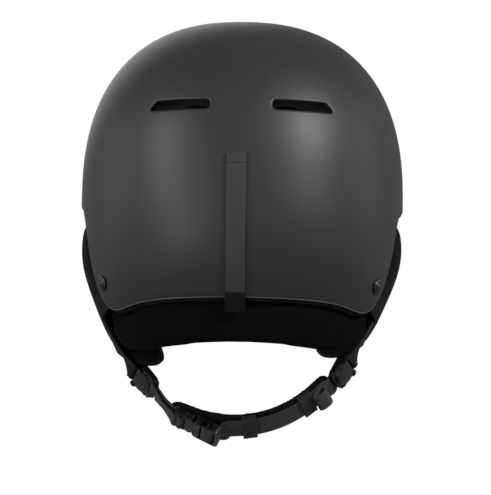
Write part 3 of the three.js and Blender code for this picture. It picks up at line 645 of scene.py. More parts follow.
def make_floor():
    mesh = bpy.data.meshes.new("floor")
    signs = (-1, -1), (1, -1), (1, 1), (-1, 1)
    corners = [(x * FLOOR_REACH, y * FLOOR_REACH, FLOOR_HEIGHT) for x, y in signs]
    mesh.from_pydata(corners, [], [(0, 1, 2, 3)])
    floor = add_object("floor", mesh)
    paper = Nodes("floor_paper", (0.86, 0.86, 0.86), 0.9)
    paper.bump(paper.noise(40, 2), 0.05, 1)
    mesh.materials.append(paper.material)
    floor.visible_diffuse = floor.visible_glossy = False


make_camera()
make_world()
for light_name, light_place, light_size, light_power in LIGHTS:
    area_light(light_name, light_place, light_size, light_power)
make_floor()


# ---- shell, liner and vents ---------------------------------------------------------------
# Each vent's side and facing: -1 is left or rear, 1 is right or front.
VENTS = [(side, facing) for facing in (-1, 1) for side in (-1, 1)]


def vent_outline(offset):
    """Slot outline (x, z) with a slanted outer end and a rounded inner end, grown by offset."""
    half = VENT_HEIGHT / 2
    corners = [(VENT_INNER_X, -half, 2.6), (VENT_OUTER_LOW_X, -half, 1.2),
               (VENT_OUTER_HIGH_X, half, 1.4), (VENT_INNER_X, half, 2.6)]
    outline = []
    for i, (x, z, radius) in enumerate(corners):
        corner = np.array([x, z])
        before, after = (unit(np.array(corners[k % 4][:2]) - corner) for k in (i - 1, i + 1))
        half_angle = math.acos(np.clip(before @ after, -1, 1)) / 2
        reach = radius / math.tan(half_angle)
        start, end = corner + before * reach, corner + after * reach
        centre = corner + unit(before + after) * radius / math.sin(half_angle)
        for t in np.linspace(0, 1, 7):
            arm = unit((start - centre) * (1 - t) + (end - centre) * t)
            outline.append(centre + arm * (radius + offset))
    dense = []
    outline = np.array(outline)
    for a, b in zip(outline, np.roll(outline, -1, 0)):
        pieces = max(int(np.linalg.norm(b - a) / 1.6), 1)
        dense.extend(a + (b - a) * k / pieces for k in range(pieces))
    return np.array(dense)


def vent_surface(outline, side, facing, depth):
    """A vent outline laid on the shell, depth millimetres in from its surface."""
    x, z = side * outline[:, 0], VENT_Z + outline[:, 1]
    width, front, rear = plan_axes(z)
    bend = (1 - np.clip(np.abs(x) / width, 0, 1) ** PLAN_POWER) ** (1 / PLAN_POWER)
    return np.column_stack([x, facing * ((rear if facing < 0 else front) * bend - depth), z])


def cut_vents(obj, offset):
    """Cuts every vent slot, grown by offset, from outside the shell to inside the liner."""
    outline = vent_outline(offset)
    cut(obj, *[loft("vent_cutter", [vent_surface(outline, side, facing, depth) for depth in (-12, 45)], PAINT,
                    smooth=False) for side, facing in VENTS])


def make_vent_lip(side, facing):
    rings = []
    for turn in np.linspace(0, math.pi / 2, 6):
        outline = vent_outline(VENT_LIP * (1 - math.sin(turn)))
        rings.append(vent_surface(outline, side, facing, VENT_LIP * (1 - math.cos(turn))))
    for depth in (2.2, 3.1):
        rings.append(vent_surface(vent_outline(0), side, facing, depth))
    name = f"vent_lip_{'rear' if facing < 0 else 'front'}_{'left' if side < 0 else 'right'}"
    lip = loft(name, rings, PAINT, caps=(False, False))
    dress(lip, "helmet", "shell_matte")


def make_shell():
    columns = shell_columns(6)
    lip = SHELL_THICKNESS / 2
    rows = 76
    rings = [shell_ring(columns, t, 0, lip) for t in (np.arange(1, rows + 1) / rows) ** 0.9]
    for turn in np.linspace(0, math.pi, 9)[1:-1]:
        rings.append(shell_ring(columns, 1, lip * (1 - math.cos(turn)), lip * (1 - math.sin(turn))))
    rings += [shell_ring(columns, t, SHELL_THICKNESS, lip) for t in np.linspace(1, 0.04, 16)]
    shell = loft("shell_skin", rings, PAINT)
    cut_vents(shell, VENT_LIP)
    set_sharp(shell, 50)
    dress(shell, "helmet", "shell_matte", "shell")


def make_liner():
    columns = shell_columns(4)
    edge = 3.0
    outer = [shell_ring(columns, t, FOAM_OUTER, FOAM_EDGE_LIFT + edge) for t in np.linspace(0.05, 1, 12)]
    inner = []
    for t in np.linspace(1, 0.03, 46):
        base = shell_ring(columns, t, FOAM_INNER, FOAM_EDGE_LIFT + edge)
        channel = np.exp(-((np.abs(base[:, 0]) - 30) / 6.5) ** 4) + np.exp(-(base[:, 0] / 5) ** 4)
        depth = 5 * np.clip(channel, 0, 1) * smoothstep(base[:, 2], -95, -60)
        inner.append(shell_ring(columns, t, FOAM_INNER - depth, FOAM_EDGE_LIFT + edge))
    turns = np.linspace(0, math.pi / 2, 4)
    bottom = [(FOAM_OUTER + edge * (1 - math.cos(turn)), 1 - math.sin(turn)) for turn in turns[1:]]
    bottom += [(FOAM_INNER - edge * (1 - math.sin(turn)), 1 - math.cos(turn)) for turn in turns[:-1]]
    bottom = [shell_ring(columns, 1, inset, FOAM_EDGE_LIFT + edge * rise) for inset, rise in bottom]
    liner = loft("foam_liner", outer + bottom + inner, FOAM)
    cut_vents(liner, 0.4)
    set_sharp(liner, 45)
    dress(liner, "helmet", "foam", "eps_liner")


def lip_highlight_bead():
    """Thin tube round the back of the trim, lighter and glossier than the shell: a painted highlight that
    shows as a fine bright line along the lip.
    """
    columns = np.radians(np.linspace(REAR_ANGLE - LIP_BEAD_REACH, REAR_ANGLE + LIP_BEAD_REACH, 160))
    path = shell_ring(columns, 1, 0.75, 0.35)
    dress(tube("lip_highlight_bead", path, 0.5, LIP_HIGHLIGHT_PAINT), "helmet", "shell_matte")


make_shell()
lip_highlight_bead()
make_liner()
for vent_side, vent_facing in VENTS:
    make_vent_lip(vent_side, vent_facing)


# ---- soft pads ----------------------------------------------------------------------------
def bent_rings(start, end, steps, top, bottom, outer, inner, points=28, hang=1.0, power=3.0):
    """Rings of a pad bent along the shell surface between two plan angles in degrees."""
    u, v = soft_section(points, power)
    rings = []
    for t in np.linspace(0, 1, steps + 1):
        shrink = max(1 - abs(2 * t - 1) ** 8, 0.12) ** 0.4
        angle = math.radians(start + (end - start) * t)
        high, low = float(top(angle)), float(bottom(angle))
        z = (high + low) / 2 + u * shrink * (high - low) / 2
        depth = (z - low) / (high - low)
        out, inn = outer(depth), inner(depth)
        inset = (out + inn) / 2 - v * shrink * (inn - out) / 2
        ring = shell_point(angle, high + (z - high) * hang, inset)
        ring[:, 2] = z
        rings.append(ring)
    return rings


def pad(name, rings, material, voxel):
    """A closed pad remeshed evenly, ready to be puffed up by pressure."""
    obj = loft(name, rings, material)
    modify(obj, "REMESH", mode="VOXEL", voxel_size=voxel * MM, use_smooth_shade=True)
    modify(obj, "SMOOTH", factor=0.5, iterations=3)
    return obj


def puff(pads, pressure, cap):
    """Swells closed pads with cloth under pressure, no point further than cap millimetres."""
    frames = 20
    starts = {}
    for obj in pads:
        starts[obj.name] = vertex_rows(obj)
        modifier = obj.modifiers.new("Cloth", "CLOTH")
        settings = modifier.settings
        settings.quality = 6
        settings.mass = 0.25
        settings.tension_stiffness = settings.compression_stiffness = 12
        settings.bending_stiffness = 0.6
        settings.use_pressure = True
        settings.uniform_pressure_force = pressure
        settings.effector_weights.gravity = 0
        modifier.collision_settings.use_collision = False
        modifier.point_cache.frame_start, modifier.point_cache.frame_end = 1, frames
    scene = bpy.context.scene
    for step in range(1, frames + 1):
        scene.frame_set(step)
    depsgraph = bpy.context.evaluated_depsgraph_get()
    for obj in pads:
        shift = vertex_rows(obj.evaluated_get(depsgraph)) - starts[obj.name]
        length = np.linalg.norm(shift, axis=1, keepdims=True)
        shift *= np.minimum(1, cap * MM / np.maximum(length, 1e-9))
        obj.modifiers.clear()
        set_points(obj, starts[obj.name] + shift)
    scene.frame_set(1)


def groove(obj, path, depth, width):
    """Presses a sewn channel into a pad along a path in millimetres."""
    path = np.asarray(path, float)
    dense = np.vstack([a + (b - a) * t for a, b in zip(path[:-1], path[1:]) for t in (0, 0.34, 0.67)])
    tree = kdtree.KDTree(len(dense))
    for i, point in enumerate(dense * MM):
        tree.insert(point, i)
    tree.balance()
    points, normals = vertex_rows(obj), vertex_rows(obj, "normal")
    reach = 2.5 * width * MM
    for i, point in enumerate(points):
        _, _, distance = tree.find(point)
        if distance < reach:
            points[i] -= normals[i] * depth * MM * math.exp(-(distance / (width * MM)) ** 2)
    set_points(obj, points)


def wrinkle(obj, amount, scale, seed):
    """Soft uneven folds, by noise along the normals."""
    points, normals = vertex_rows(obj), vertex_rows(obj, "normal")
    rng = np.random.default_rng(seed)
    folds = 7
    waves = rng.normal(0, 1, (folds, 3))
    phases = rng.uniform(0, 2 * math.pi, folds)
    lift = np.zeros(len(points))
    for wave, phase in zip(waves, phases):
        lift += np.sin(points @ wave * (2 * math.pi / (scale * MM)) + phase)
    set_points(obj, points + normals * (lift / folds * amount * MM)[:, None])


def liner_pad(name, start, end, steps, low, high):
    rings = bent_rings(start, end, steps, lambda a: high, lambda a: low,
                       lambda d: PAD_OUTER, lambda d: PAD_INNER)
    return pad(name, rings, FLEECE, 2.6)


def crown_pad():
    rings = []
    for degrees, inset in ((84, 31), (72, 31), (60, 31), (53, 31.6), (52, 33), (53, 34), (60, 34.4),
                           (72, 34.4), (84, 34.4)):
        course = math.radians(degrees)
        z = WAIST_Z + (CROWN_HEIGHT - inset) * math.sin(course) ** (2 / CROWN_POWER)
        rings.append(shell_point(np.linspace(0, 2 * math.pi, 64, endpoint=False), z, inset))
    return pad("crown_cushion", rings, FLEECE, 2.6)


def roll_bottom(angle):
    """Height of the neck roll's lower edge, lowest at its two ends."""
    return -195 - 4.5 * min(abs(math.cos(angle)) / 0.6, 1) ** 2


def neck_roll():
    rings = bent_rings(
        REAR_ANGLE - ROLL_REACH, REAR_ANGLE + ROLL_REACH, 70, lambda a: trim_height(a) + 1.6, roll_bottom,
        lambda d: 10.5 - 5.9 * d, lambda d: 26 - 5 * d, points=44, hang=0.35, power=4.2)
    return pad("neck_cushion", rings, TWILL, 4)


EAR_CURVE = catmull(EAR_STATIONS[:, :2], 701)
EAR_PLACES = np.linspace(0, 1, len(EAR_CURVE))


def ear_station(t):
    """Middle point and outward normal in the x-z plane, thickness, rear and front y."""
    point, ahead, behind = (np.array([np.interp(spot, EAR_PLACES, EAR_CURVE[:, k]) for k in (0, 1)])
                            for spot in (t, min(t + 0.004, 1), max(t - 0.004, 0)))
    tangent = unit(ahead - behind)
    stations = np.linspace(0, 1, len(EAR_STATIONS))
    thick, back, front = (np.interp(t, stations, EAR_STATIONS[:, k]) for k in (2, 3, 4))
    return point, np.array([-tangent[1], tangent[0]]), thick, back, front


def ear_point(side, t, y, height):
    point, normal, _, _, _ = ear_station(t)
    x, z = point + normal * height
    bend = (1 - (abs(y) / REAR_LENGTH) ** PLAN_POWER) ** (1 / PLAN_POWER)
    return np.array([SIDES[side] * x * bend, y, EAR_TOP_Z + (z - EAR_TOP_Z) * EAR_DROP[side]])


def ear_pad(side):
    u, v = soft_section(40, 3.2)
    rings = []
    for t in np.linspace(0, 1, 46):
        _, _, thick, back, front = ear_station(t)
        shrink = 1 if t < 0.97 else 0.75
        middle, half = (back + front) / 2, (front - back) / 2 - 0.8
        outer = thick / 2 + EAR_SWELL + EAR_LOBE * smoothstep(t, 0.42, 0.72)
        inner = thick / 2 - 1
        rings.append([ear_point(side, t, middle + a * shrink * half, b * shrink * (outer if b > 0 else inner))
                      for a, b in zip(u, v)])
    tucked = [np.array(rings[0]) + np.array([0, 0, rise]) for rise in EAR_TUCK]
    return pad(f"ear_cushion_{side}", tucked + rings, EAR_CLOTH, 4)


# ---- chin loop ----------------------------------------------------------------------------
LOOP_DOWN = np.array([0, -math.sin(LOOP_LEAN), -math.cos(LOOP_LEAN)])
LOOP_BACK = np.array([0, -math.cos(LOOP_LEAN), math.sin(LOOP_LEAN)])
LOOP_SIDE = np.array([1.0, 0, 0])


def loop_axes(degrees):
    """Radial, along, across and outward directions, degrees from the lowest point towards +X."""
    c, s = math.cos(math.radians(degrees)), math.sin(math.radians(degrees))
    radial = LOOP_DOWN * c + LOOP_SIDE * s
    along = LOOP_SIDE * c - LOOP_DOWN * s
    out = radial * math.cos(LOOP_ROLL) + LOOP_BACK * math.sin(LOOP_ROLL)
    across = LOOP_BACK * math.cos(LOOP_ROLL) - radial * math.sin(LOOP_ROLL)
    return radial, along, across, out


def loop_point(degrees, height=0.0, across=0.0, radius=LOOP_RADIUS):
    radial, _, side, out = loop_axes(degrees)
    return LOOP_CENTRE + radial * radius + out * height + side * across


def band_frame(origin, along, out):
    """Origin and axes: x along a band, y across it, z out of it."""
    x = unit(along)
    y = unit(np.cross(out, x))
    return origin, x, y, np.cross(x, y)


def loop_frame(degrees, height):
    _, along, _, out = loop_axes(degrees)
    return band_frame(loop_point(degrees, height), along, out)


BUCKLE_ALONG = loop_axes(BUCKLE_ANGLE + BUCKLE_TURN)[1]
BUCKLE_TIP = Matrix.Rotation(BUCKLE_TILT, 3, Vector(BUCKLE_ALONG))
BUCKLE_OUT = np.array(BUCKLE_TIP @ Vector(loop_axes(BUCKLE_ANGLE)[3]))
BUCKLE = band_frame(loop_point(BUCKLE_ANGLE, BUCKLE_LIFT), BUCKLE_ALONG, BUCKLE_OUT)
LEFT_WEBBING_START = loop_point(BUCKLE_ANGLE, LEFT_WEBBING_LIFT) + BUCKLE_ALONG * (MALE_END_X - 2.8)
LEFT_DIVIDER_CENTRE = LOOP_CENTRE + LOOP_SIDE * -62.9 + LOOP_DOWN * 48
LEFT_ACROSS = loop_axes(-50)[2]


def divider_frame(side):
    if side == "left":
        up = unit(LEFT_DIVIDER_CENTRE - LEFT_WEBBING_START)
        out = np.cross(unit(LEFT_ACROSS - up * (LEFT_ACROSS @ up)), up)
        return band_frame(LEFT_DIVIDER_CENTRE, up, -out if out[0] > 0 else out)
    _, along, _, out = loop_axes(RIGHT_DIVIDER_ANGLE + 1)
    return band_frame(loop_point(RIGHT_DIVIDER_ANGLE, radius=LOOP_RADIUS + 2.5), along, out)


DIVIDERS = {side: divider_frame(side) for side in SIDES}
DIVIDER_ACROSS = {"left": LEFT_ACROSS, "right": loop_axes(RIGHT_DIVIDER_ANGLE + 1)[2]}


# ---- bands --------------------------------------------------------------------------------
def flat_section(width, thickness):
    return np.array(rounded_outline(width, thickness, thickness * 0.42, steps=3))


def ribbed_section(width, thickness, ribs, height):
    t = np.linspace(0, 1, ribs * 8 + 1)
    top = np.abs(np.sin(math.pi * ribs * t)) ** 0.6 * height
    upper = np.column_stack([(t - 0.5) * width, thickness / 2 + top])
    return np.vstack([upper, [(width / 2, -thickness / 2), (-width / 2, -thickness / 2)]])


def band(name, path, ups, section, material, scales=None, closed=False):
    """Strap along a path; ups are its outward directions. UV: u along and v across, mm."""
    path, ups = np.asarray(path, float), unit(ups)
    if closed:
        along = unit(np.roll(path, -1, 0) - np.roll(path, 1, 0))
        path, ups, along = (np.vstack([rows, rows[:1]]) for rows in (path, ups, along))
    else:
        along = unit(np.gradient(path, axis=0))
    across = unit(np.cross(ups, along))
    normal = np.cross(along, across)
    scales = np.ones(len(path)) if scales is None else scales
    rings = [path[i] + np.outer(section[:, 0] * scales[i], across[i]) + np.outer(section[:, 1], normal[i])
             for i in range(len(path))]
    obj = loft(name, rings, material, caps=(not closed, not closed))
    travel = np.concatenate([[0], np.cumsum(np.linalg.norm(np.diff(path, axis=0), axis=1))])
    size = len(section)
    uv = np.zeros((len(rings) * size + 2, 2))
    uv[:-2, 0] = np.repeat(travel, size)
    uv[:-2, 1] = np.tile(section[:, 0], len(rings))
    uv[-1, 0] = travel[-1]
    corners = np.zeros(len(obj.data.loops), dtype=np.int64)
    obj.data.loops.foreach_get("vertex_index", corners)
    layer = obj.data.uv_layers.new(name="UVMap")
    layer.data.foreach_set("uv", uv[corners].ravel())
    set_sharp(obj, 50)
    return obj


def smooth_band(name, knots, ups, steps, section, material, scales=None):
    path = catmull(knots, steps)
    places = np.linspace(0, len(knots) - 1, steps)
    marks = range(len(knots))
    directions = np.column_stack([np.interp(places, marks, column) for column in np.transpose(ups)])
    return band(name, path, directions, section, material, scales)


# ---- side straps --------------------------------------------------------------------------
STRAP_INSET = 5.4


def shell_knot(y, z, inset, sign):
    return shell_point_at(y, z, inset, sign), shell_normal_at(y, z, sign)


def ear_knot(side, t, y, lift):
    thick = ear_station(t)[2]
    point = ear_point(side, t, y, thick / 2 + lift)
    return point, unit(point - ear_point(side, t, y, 0))


def divider_knot(side, x, across, z):
    frame_axes = DIVIDERS[side]
    toward = np.sign(frame_axes[2] @ DIVIDER_ACROSS[side])
    return place([x, across * toward, z], frame_axes), frame_axes[3]


def side_strap(side, end):
    sign = SIDES[side]
    top = DIVIDER_LENGTH / 2
    if end == "rear":
        y, z = REAR_RIVET
        knots = [shell_knot(y - 4.5, z + 4.5, STRAP_INSET, sign), shell_knot(y + 5, z - 5, STRAP_INSET, sign),
                 shell_knot(y + 15, z - 15, 2.2, sign), ear_knot(side, 0.5, -55, 2.4),
                 ear_knot(side, 0.6, -41, 2.4), ear_knot(side, 0.69, -22, 4.4)]
        knots += [divider_knot(side, top + x, 4.6, z) for x, z in ((3.4, 3.4), (-1.4, 3.1), (-3.1, 0))]
    else:
        y, z = FRONT_RIVET
        knots = [shell_knot(y, z + 6, STRAP_INSET, sign), shell_knot(y - 1, z - 9, STRAP_INSET, sign)]
        knots += [ear_knot(side, t, y, lift) for t, y, lift in (
            (0.16, 45, 1.8), (0.32, 34, 1.6), (0.48, 22, 1.6), (0.62, 12, 2))]
        knots += [divider_knot(side, top + x, -4.6, z) for x, z in (
            (2.2, 1), (0.6, 2.6), (-1.6, 3.1), (-3.1, 0))]
    steps = 90
    narrow = np.interp(np.linspace(0, 1, steps), [0, 0.66, 0.8, 1], [1, 1, 0.52, 0.5])
    points, ups = zip(*knots)
    strap = smooth_band(f"webbing_{end}_{side}", points, ups, steps,
                        flat_section(WEBBING_WIDTH, WEBBING_THICKNESS), SIDE_WEBBING_PAINTED_SHADE, narrow)
    dress(strap, "helmet", "webbing", f"strap_{end}_{side}")


for strap_side in SIDES:
    for strap_end in ("front", "rear"):
        side_strap(strap_side, strap_end)


# ---- rivets -------------------------------------------------------------------------------
def lathe(name, profile, material, frame_axes, steps=48):
    turns = np.linspace(0, 2 * math.pi, steps, endpoint=False)
    rings = [place(np.column_stack([r * np.cos(turns), r * np.sin(turns), np.full(steps, z)]), frame_axes)
             for r, z in profile]
    return loft(name, rings, material)


def rivet(name, spot, sign):
    point, normal = shell_knot(*spot, 0, sign)
    side = unit(np.cross(normal, [0, 0, 1]))
    profile = [(0.1, -9.8), (4.1, -9.8), (4.4, -9.5), (4.4, -8.9), (4.1, -8.6), (2, -8.6), (2, 0.45),
               (4.9, 0.45), (5.25, 0.6), (5.3, 0.9), (5.1, 1.25), (4.6, 1.5), (4.15, 1.62), (4.0, 1.35),
               (3.8, 1.35), (3.65, 1.75), (3.1, 2.0), (2.6, 2.08), (2.45, 1.8), (2.2, 1.8), (2.05, 2.15),
               (1.4, 2.32), (0.1, 2.4)]
    head = lathe(f"{name}_head", profile, LACQUER, (point, side, np.cross(normal, side), normal))
    set_sharp(head, 60)
    dress(head, "helmet", "rivet", name)


for rivet_side, rivet_sign in SIDES.items():
    rivet(f"rivet_rear_{rivet_side}", REAR_RIVET, rivet_sign)
    rivet(f"rivet_front_{rivet_side}", FRONT_RIVET, rivet_sign)


# ---- edge strip and goggle retainer -------------------------------------------------------
def edge_strip():
    rings = bent_rings(
        REAR_ANGLE - STRIP_REACH, REAR_ANGLE + STRIP_REACH, 110, lambda a: trim_height(a) + 1.4,
        lambda a: trim_height(a) - 1.9, lambda d: 2.9, lambda d: 7.5, points=20, power=3.4)
    strip = loft("edge_strip", rings, STRIP)
    subdivide(strip)
    wrinkle(strip, 0.35, 5, 4)
    dress(strip, "helmet", "trim_strip", "roll_carrier")


def back_knot(z, lift):
    step = 0.5
    rear = [plan_axes(height)[2] for height in (z - step, z + step, z)]
    upward = unit(np.array([0, rear[0] - rear[1], 2 * step]))
    normal = np.array([0, -upward[2], upward[1]])
    return np.array([RETAINER_X, -rear[2], z]) + normal * lift, normal


def back_band(name, top, bottom, lift, width, thickness, material, steps, scales=None):
    """Strip of the retainer, from top to bottom down the back."""
    points, ups = zip(*[back_knot(z, lift) for z in np.linspace(top, bottom, steps)])
    section = np.array(rounded_outline(width, thickness, 0.35, steps=3))
    return band(name, points, ups, section, material, scales)


def retainer():
    width, gap, corner, rows = RETAINER_WIDTH + 0.6, 0.1, 1.2, 26
    strap = back_band(
        "retainer_strap_skin", RETAINER_TOP - gap, RETAINER_STRAP_END, 1.4, width, 1.8, RUBBER, 80)
    anchor = back_band(
        "retainer_anchor_skin", RETAINER_TOP + 7, RETAINER_TOP + gap, 1.35, width, 1.9, RUBBER, 10)
    tab_top, tab_width = RETAINER_STRAP_END - 0.2, RETAINER_WIDTH + 1.4
    travel = np.linspace(tab_top, RETAINER_TAB_END, rows)
    low = np.clip((RETAINER_TAB_END + corner - travel) / corner, 0, 1)
    scales = 1 - corner / (tab_width / 2) * (1 - np.sqrt(1 - low ** 2 * 0.99))
    tab = back_band(
        "retainer_tab_skin", tab_top, RETAINER_TAB_END, 1.8, tab_width, 2.8, TAB_PLASTIC, rows, scales)
    dress(strap, "goggle_retainer", "retainer", "retainer_strap")
    dress(tab, "goggle_retainer", "hardware", "retainer_tab")
    dress(anchor, "helmet", "retainer", "retainer_anchor")


edge_strip()
retainer()


# ---- strap dividers -----------------------------------------------------------------------
def block(axes, length, width, height, radius, centre=(0, 0, 0), steps=4):
    """Plastic block with rounded corners in plan, placed in a frame."""
    outline = rounded_outline(length, width, radius, steps, centre[0], centre[1])
    return extrude_outline("block", outline, height, PLASTIC, axes, centre[2])


LEVER_HINGE = (4.2, 4.0)
# Side view of the ears that hold a lever's hinge: (x, z).
HINGE_EAR = [
    (1.6, 1.4), (6.8, 1.4), (6.8, 4.1), (6.2, 5.3), (5.0, 5.9), (3.4, 5.9), (2.2, 5.3), (1.7, 4.2)]


def divider_body(side):
    axes = DIVIDERS[side]
    face = DIVIDER_THICKNESS / 2
    body = block(axes, DIVIDER_LENGTH, DIVIDER_WIDTH, DIVIDER_THICKNESS, 4.6, steps=8)
    slots = [block(axes, 2.4, DIVIDER_WIDTH - 4.6, 20, 1.1, (x, 0, 0)) for x in (7.6, 1.2, -7.4)]
    hollow = block(axes, 5.6, DIVIDER_WIDTH - 5, 1.2, 1.2, (-3.0, 0, face))
    cut(body, *slots, hollow)
    bevel_edges(body, 0.55)
    ears, rails = [], []
    for end in (-1, 1):
        turned = (axes[0] + axes[2] * end * 8.6, axes[1], axes[3], -axes[2])
        ears.append(bevel_edges(extrude_outline("ear", HINGE_EAR, 1.6, PLASTIC, turned), 0.35))
        rail = block(axes, DIVIDER_LENGTH - 6, 1.5, 1.2, 0.7, (0, end * 8.9, face + 0.2))
        rails.append(bevel_edges(rail, 0.4))
    piece = join_pieces(f"divider_{side}", [body, *ears, *rails])
    set_sharp(piece, 40)
    dress(piece, "helmet", "hardware", f"divider_body_{side}")


def divider_lever(side):
    """Smooth leaf-shaped plate on a hinge barrel, slightly domed."""
    axes = DIVIDERS[side]
    hinge_x, hinge_z = LEVER_HINGE
    half_width, root, reach, straight, taper = 8.1, hinge_x + 0.4, 13.8, 0.25, 2.4
    u, v = soft_section(28, 5)
    crown = 0.55 * (1 - u ** 2)
    rings = []
    for t in np.linspace(0, 1, 25):
        width = half_width * (1 - (max(t - straight, 0) / (1 - straight)) ** taper * 0.97) ** 0.5
        dome = 0.66 * math.sin(math.pi * min(t + 0.12, 1)) ** 0.8
        height = hinge_z - 0.5 + v * 0.85 + dome + crown
        rings.append(place(np.column_stack([np.full(len(u), root - reach * t), u * width, height]), axes))
    plate = loft("plate", rings, PLASTIC)
    turned = (place([hinge_x, 0, hinge_z], axes), axes[1], axes[3], -axes[2])
    barrel = lathe("barrel", [(0.1, -7.7), (1.25, -7.7), (1.5, -7.4), (1.5, 7.4), (1.25, 7.7), (0.1, 7.7)],
                   PLASTIC, turned, 24)
    lever = join_pieces(f"lever_{side}_plate", [plate, barrel])
    set_sharp(lever, 45)
    dress(lever, f"lever_{side}", "hardware", f"divider_lever_{side}")


for divider_side in SIDES:
    divider_body(divider_side)
    divider_lever(divider_side)


# ---- buckle -------------------------------------------------------------------------------
def female_buckle():
    length, middle, half = FEMALE_END_X - MOUTH_X, (FEMALE_END_X + MOUTH_X) / 2, BUCKLE_THICKNESS / 2
    body = block(BUCKLE, length, BUCKLE_WIDTH, BUCKLE_THICKNESS, 3.4, (middle, 0, 0), 8)
    side = [(MOUTH_X - 1, 8), (4, 9.05), (4.2, 13), (10.8, 13)]
    outline = [(x, -y) for x, y in side] + side[::-1]
    room = extrude_outline("room", outline, 4.2, PLASTIC, BUCKLE)
    slot = block(BUCKLE, 2.8, 16.4, 20, 1.2, (13.9, 0, 0))
    recess = block(BUCKLE, 10.6, 16.4, 4, 0.9, (8.6, 0, half + 0.4))
    under = block(BUCKLE, 7, 16.4, 4, 0.9, (16.2, 0, -half - 0.4))
    thumb = block(BUCKLE, 5, 9, 1.6, 2.4, (MOUTH_X, 0, half + 0.1), 6)
    cut(body, room, slot, recess, under, thumb)
    bevel_edges(body, 0.6)
    body.name = body.data.name = "buckle_socket"
    dress(body, "chin_strap", "hardware", "buckle_female")


def male_buckle():
    end, front = MALE_END_X, MOUTH_X - 0.3
    body = block(BUCKLE, front - end, BUCKLE_WIDTH - 1, 5.4, 3.2, ((front + end) / 2, 0, 0), 8)
    slots = [block(BUCKLE, 2.4, 15.4, 20, 1.1, (x, 0, 0)) for x in (-14.4, -9.6)]
    roots = [block(BUCKLE, 6, 4.2, 3.9, 0.3, (-3.3, edge * 5.6, 0), 1) for edge in (-1, 1)]
    waist = [block(BUCKLE, 4, 4, 8, 1.9, (-7.4, edge * 10.6, 0), 6) for edge in (-1, 1)]
    cut(body, *slots, *roots, *waist)
    bevel_edges(body, 0.6)
    tongue = bevel_edges(block(BUCKLE, 4, 3.2, 3.2, 0.5, (-0.6, 0, 0), 3), 0.3)
    ribs = [bevel_edges(block(BUCKLE, 1.1, 13.4, 1.0, 0.5, (x, 0, 2.8), 3), 0.3) for x in (-16.6, -12)]
    body = join_pieces("buckle_plug", [body, tongue, *ribs])
    set_sharp(body, 40)
    dress(body, "buckle_insert", "hardware", "buckle_male")


def prong(key, side):
    """Spring arm with a hooked tip; side is the edge of the plug it runs along."""
    points = [(-5.8, 4.4), (-1, 4.3), (4.2, 4.2), (7.6, 4.25), (10.1, 4.6), (10.4, 6.2), (9.7, 8.0),
              (8.8, 9.1), (7.9, 9.55), (7.3, 9.1), (6.4, 8.1), (4.8, 7.2), (2, 6.9), (-5.8, 6.8)]
    piece = extrude_outline(f"{key}_arm", catmull(points, 79) * (1, side), 3.2, PLASTIC, BUCKLE)
    bevel_edges(piece, 0.35, angle=50)
    dress(piece, key, "hardware", f"buckle_{key}")


female_buckle()
male_buckle()
prong("prong_back", 1)
prong("prong_front", -1)


# ---- chin webbing -------------------------------------------------------------------------
def loop_knot(degrees, height=0.0):
    return loop_point(degrees, height), loop_axes(degrees)[3]


def buckle_knot(x, z):
    return place([x, 0, z], BUCKLE), BUCKLE[3]


def bridge(obj, node):
    """Bakes the webbing's placement into its mesh and hides the CAD node it stands for."""
    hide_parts(node)
    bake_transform(obj)


def chin_webbing():
    knots = [buckle_knot(x, z) for x, z in (
        (4.3, 0.6), (5.0, 2.3), (7, 3.2), (9.6, 3.2), (12.2, 2.4), (13.5, 0.2), (14.7, -2.0), (17.4, -2.9))]
    knots.append(loop_knot(-2.4, 0.9))
    knots += [loop_knot(degrees) for degrees in np.linspace(1.5, 49, 13)]
    knots += [divider_knot("right", x, 0, z) for x, z in (
        (-12.6, -1.4), (-9.6, -2.6), (-7.6, -0.4), (-6, 2.5), (-3.4, 2.3), (-0.4, 2.5), (1.0, 0.2))]
    points, ups = zip(*knots)
    webbing_band = smooth_band("chin_webbing_long", points, ups, 300,
                               flat_section(WEBBING_WIDTH - 0.6, WEBBING_THICKNESS - 0.2), WEBBING_PAINTED_LIGHT)
    bridge(webbing_band, "chin_webbing")


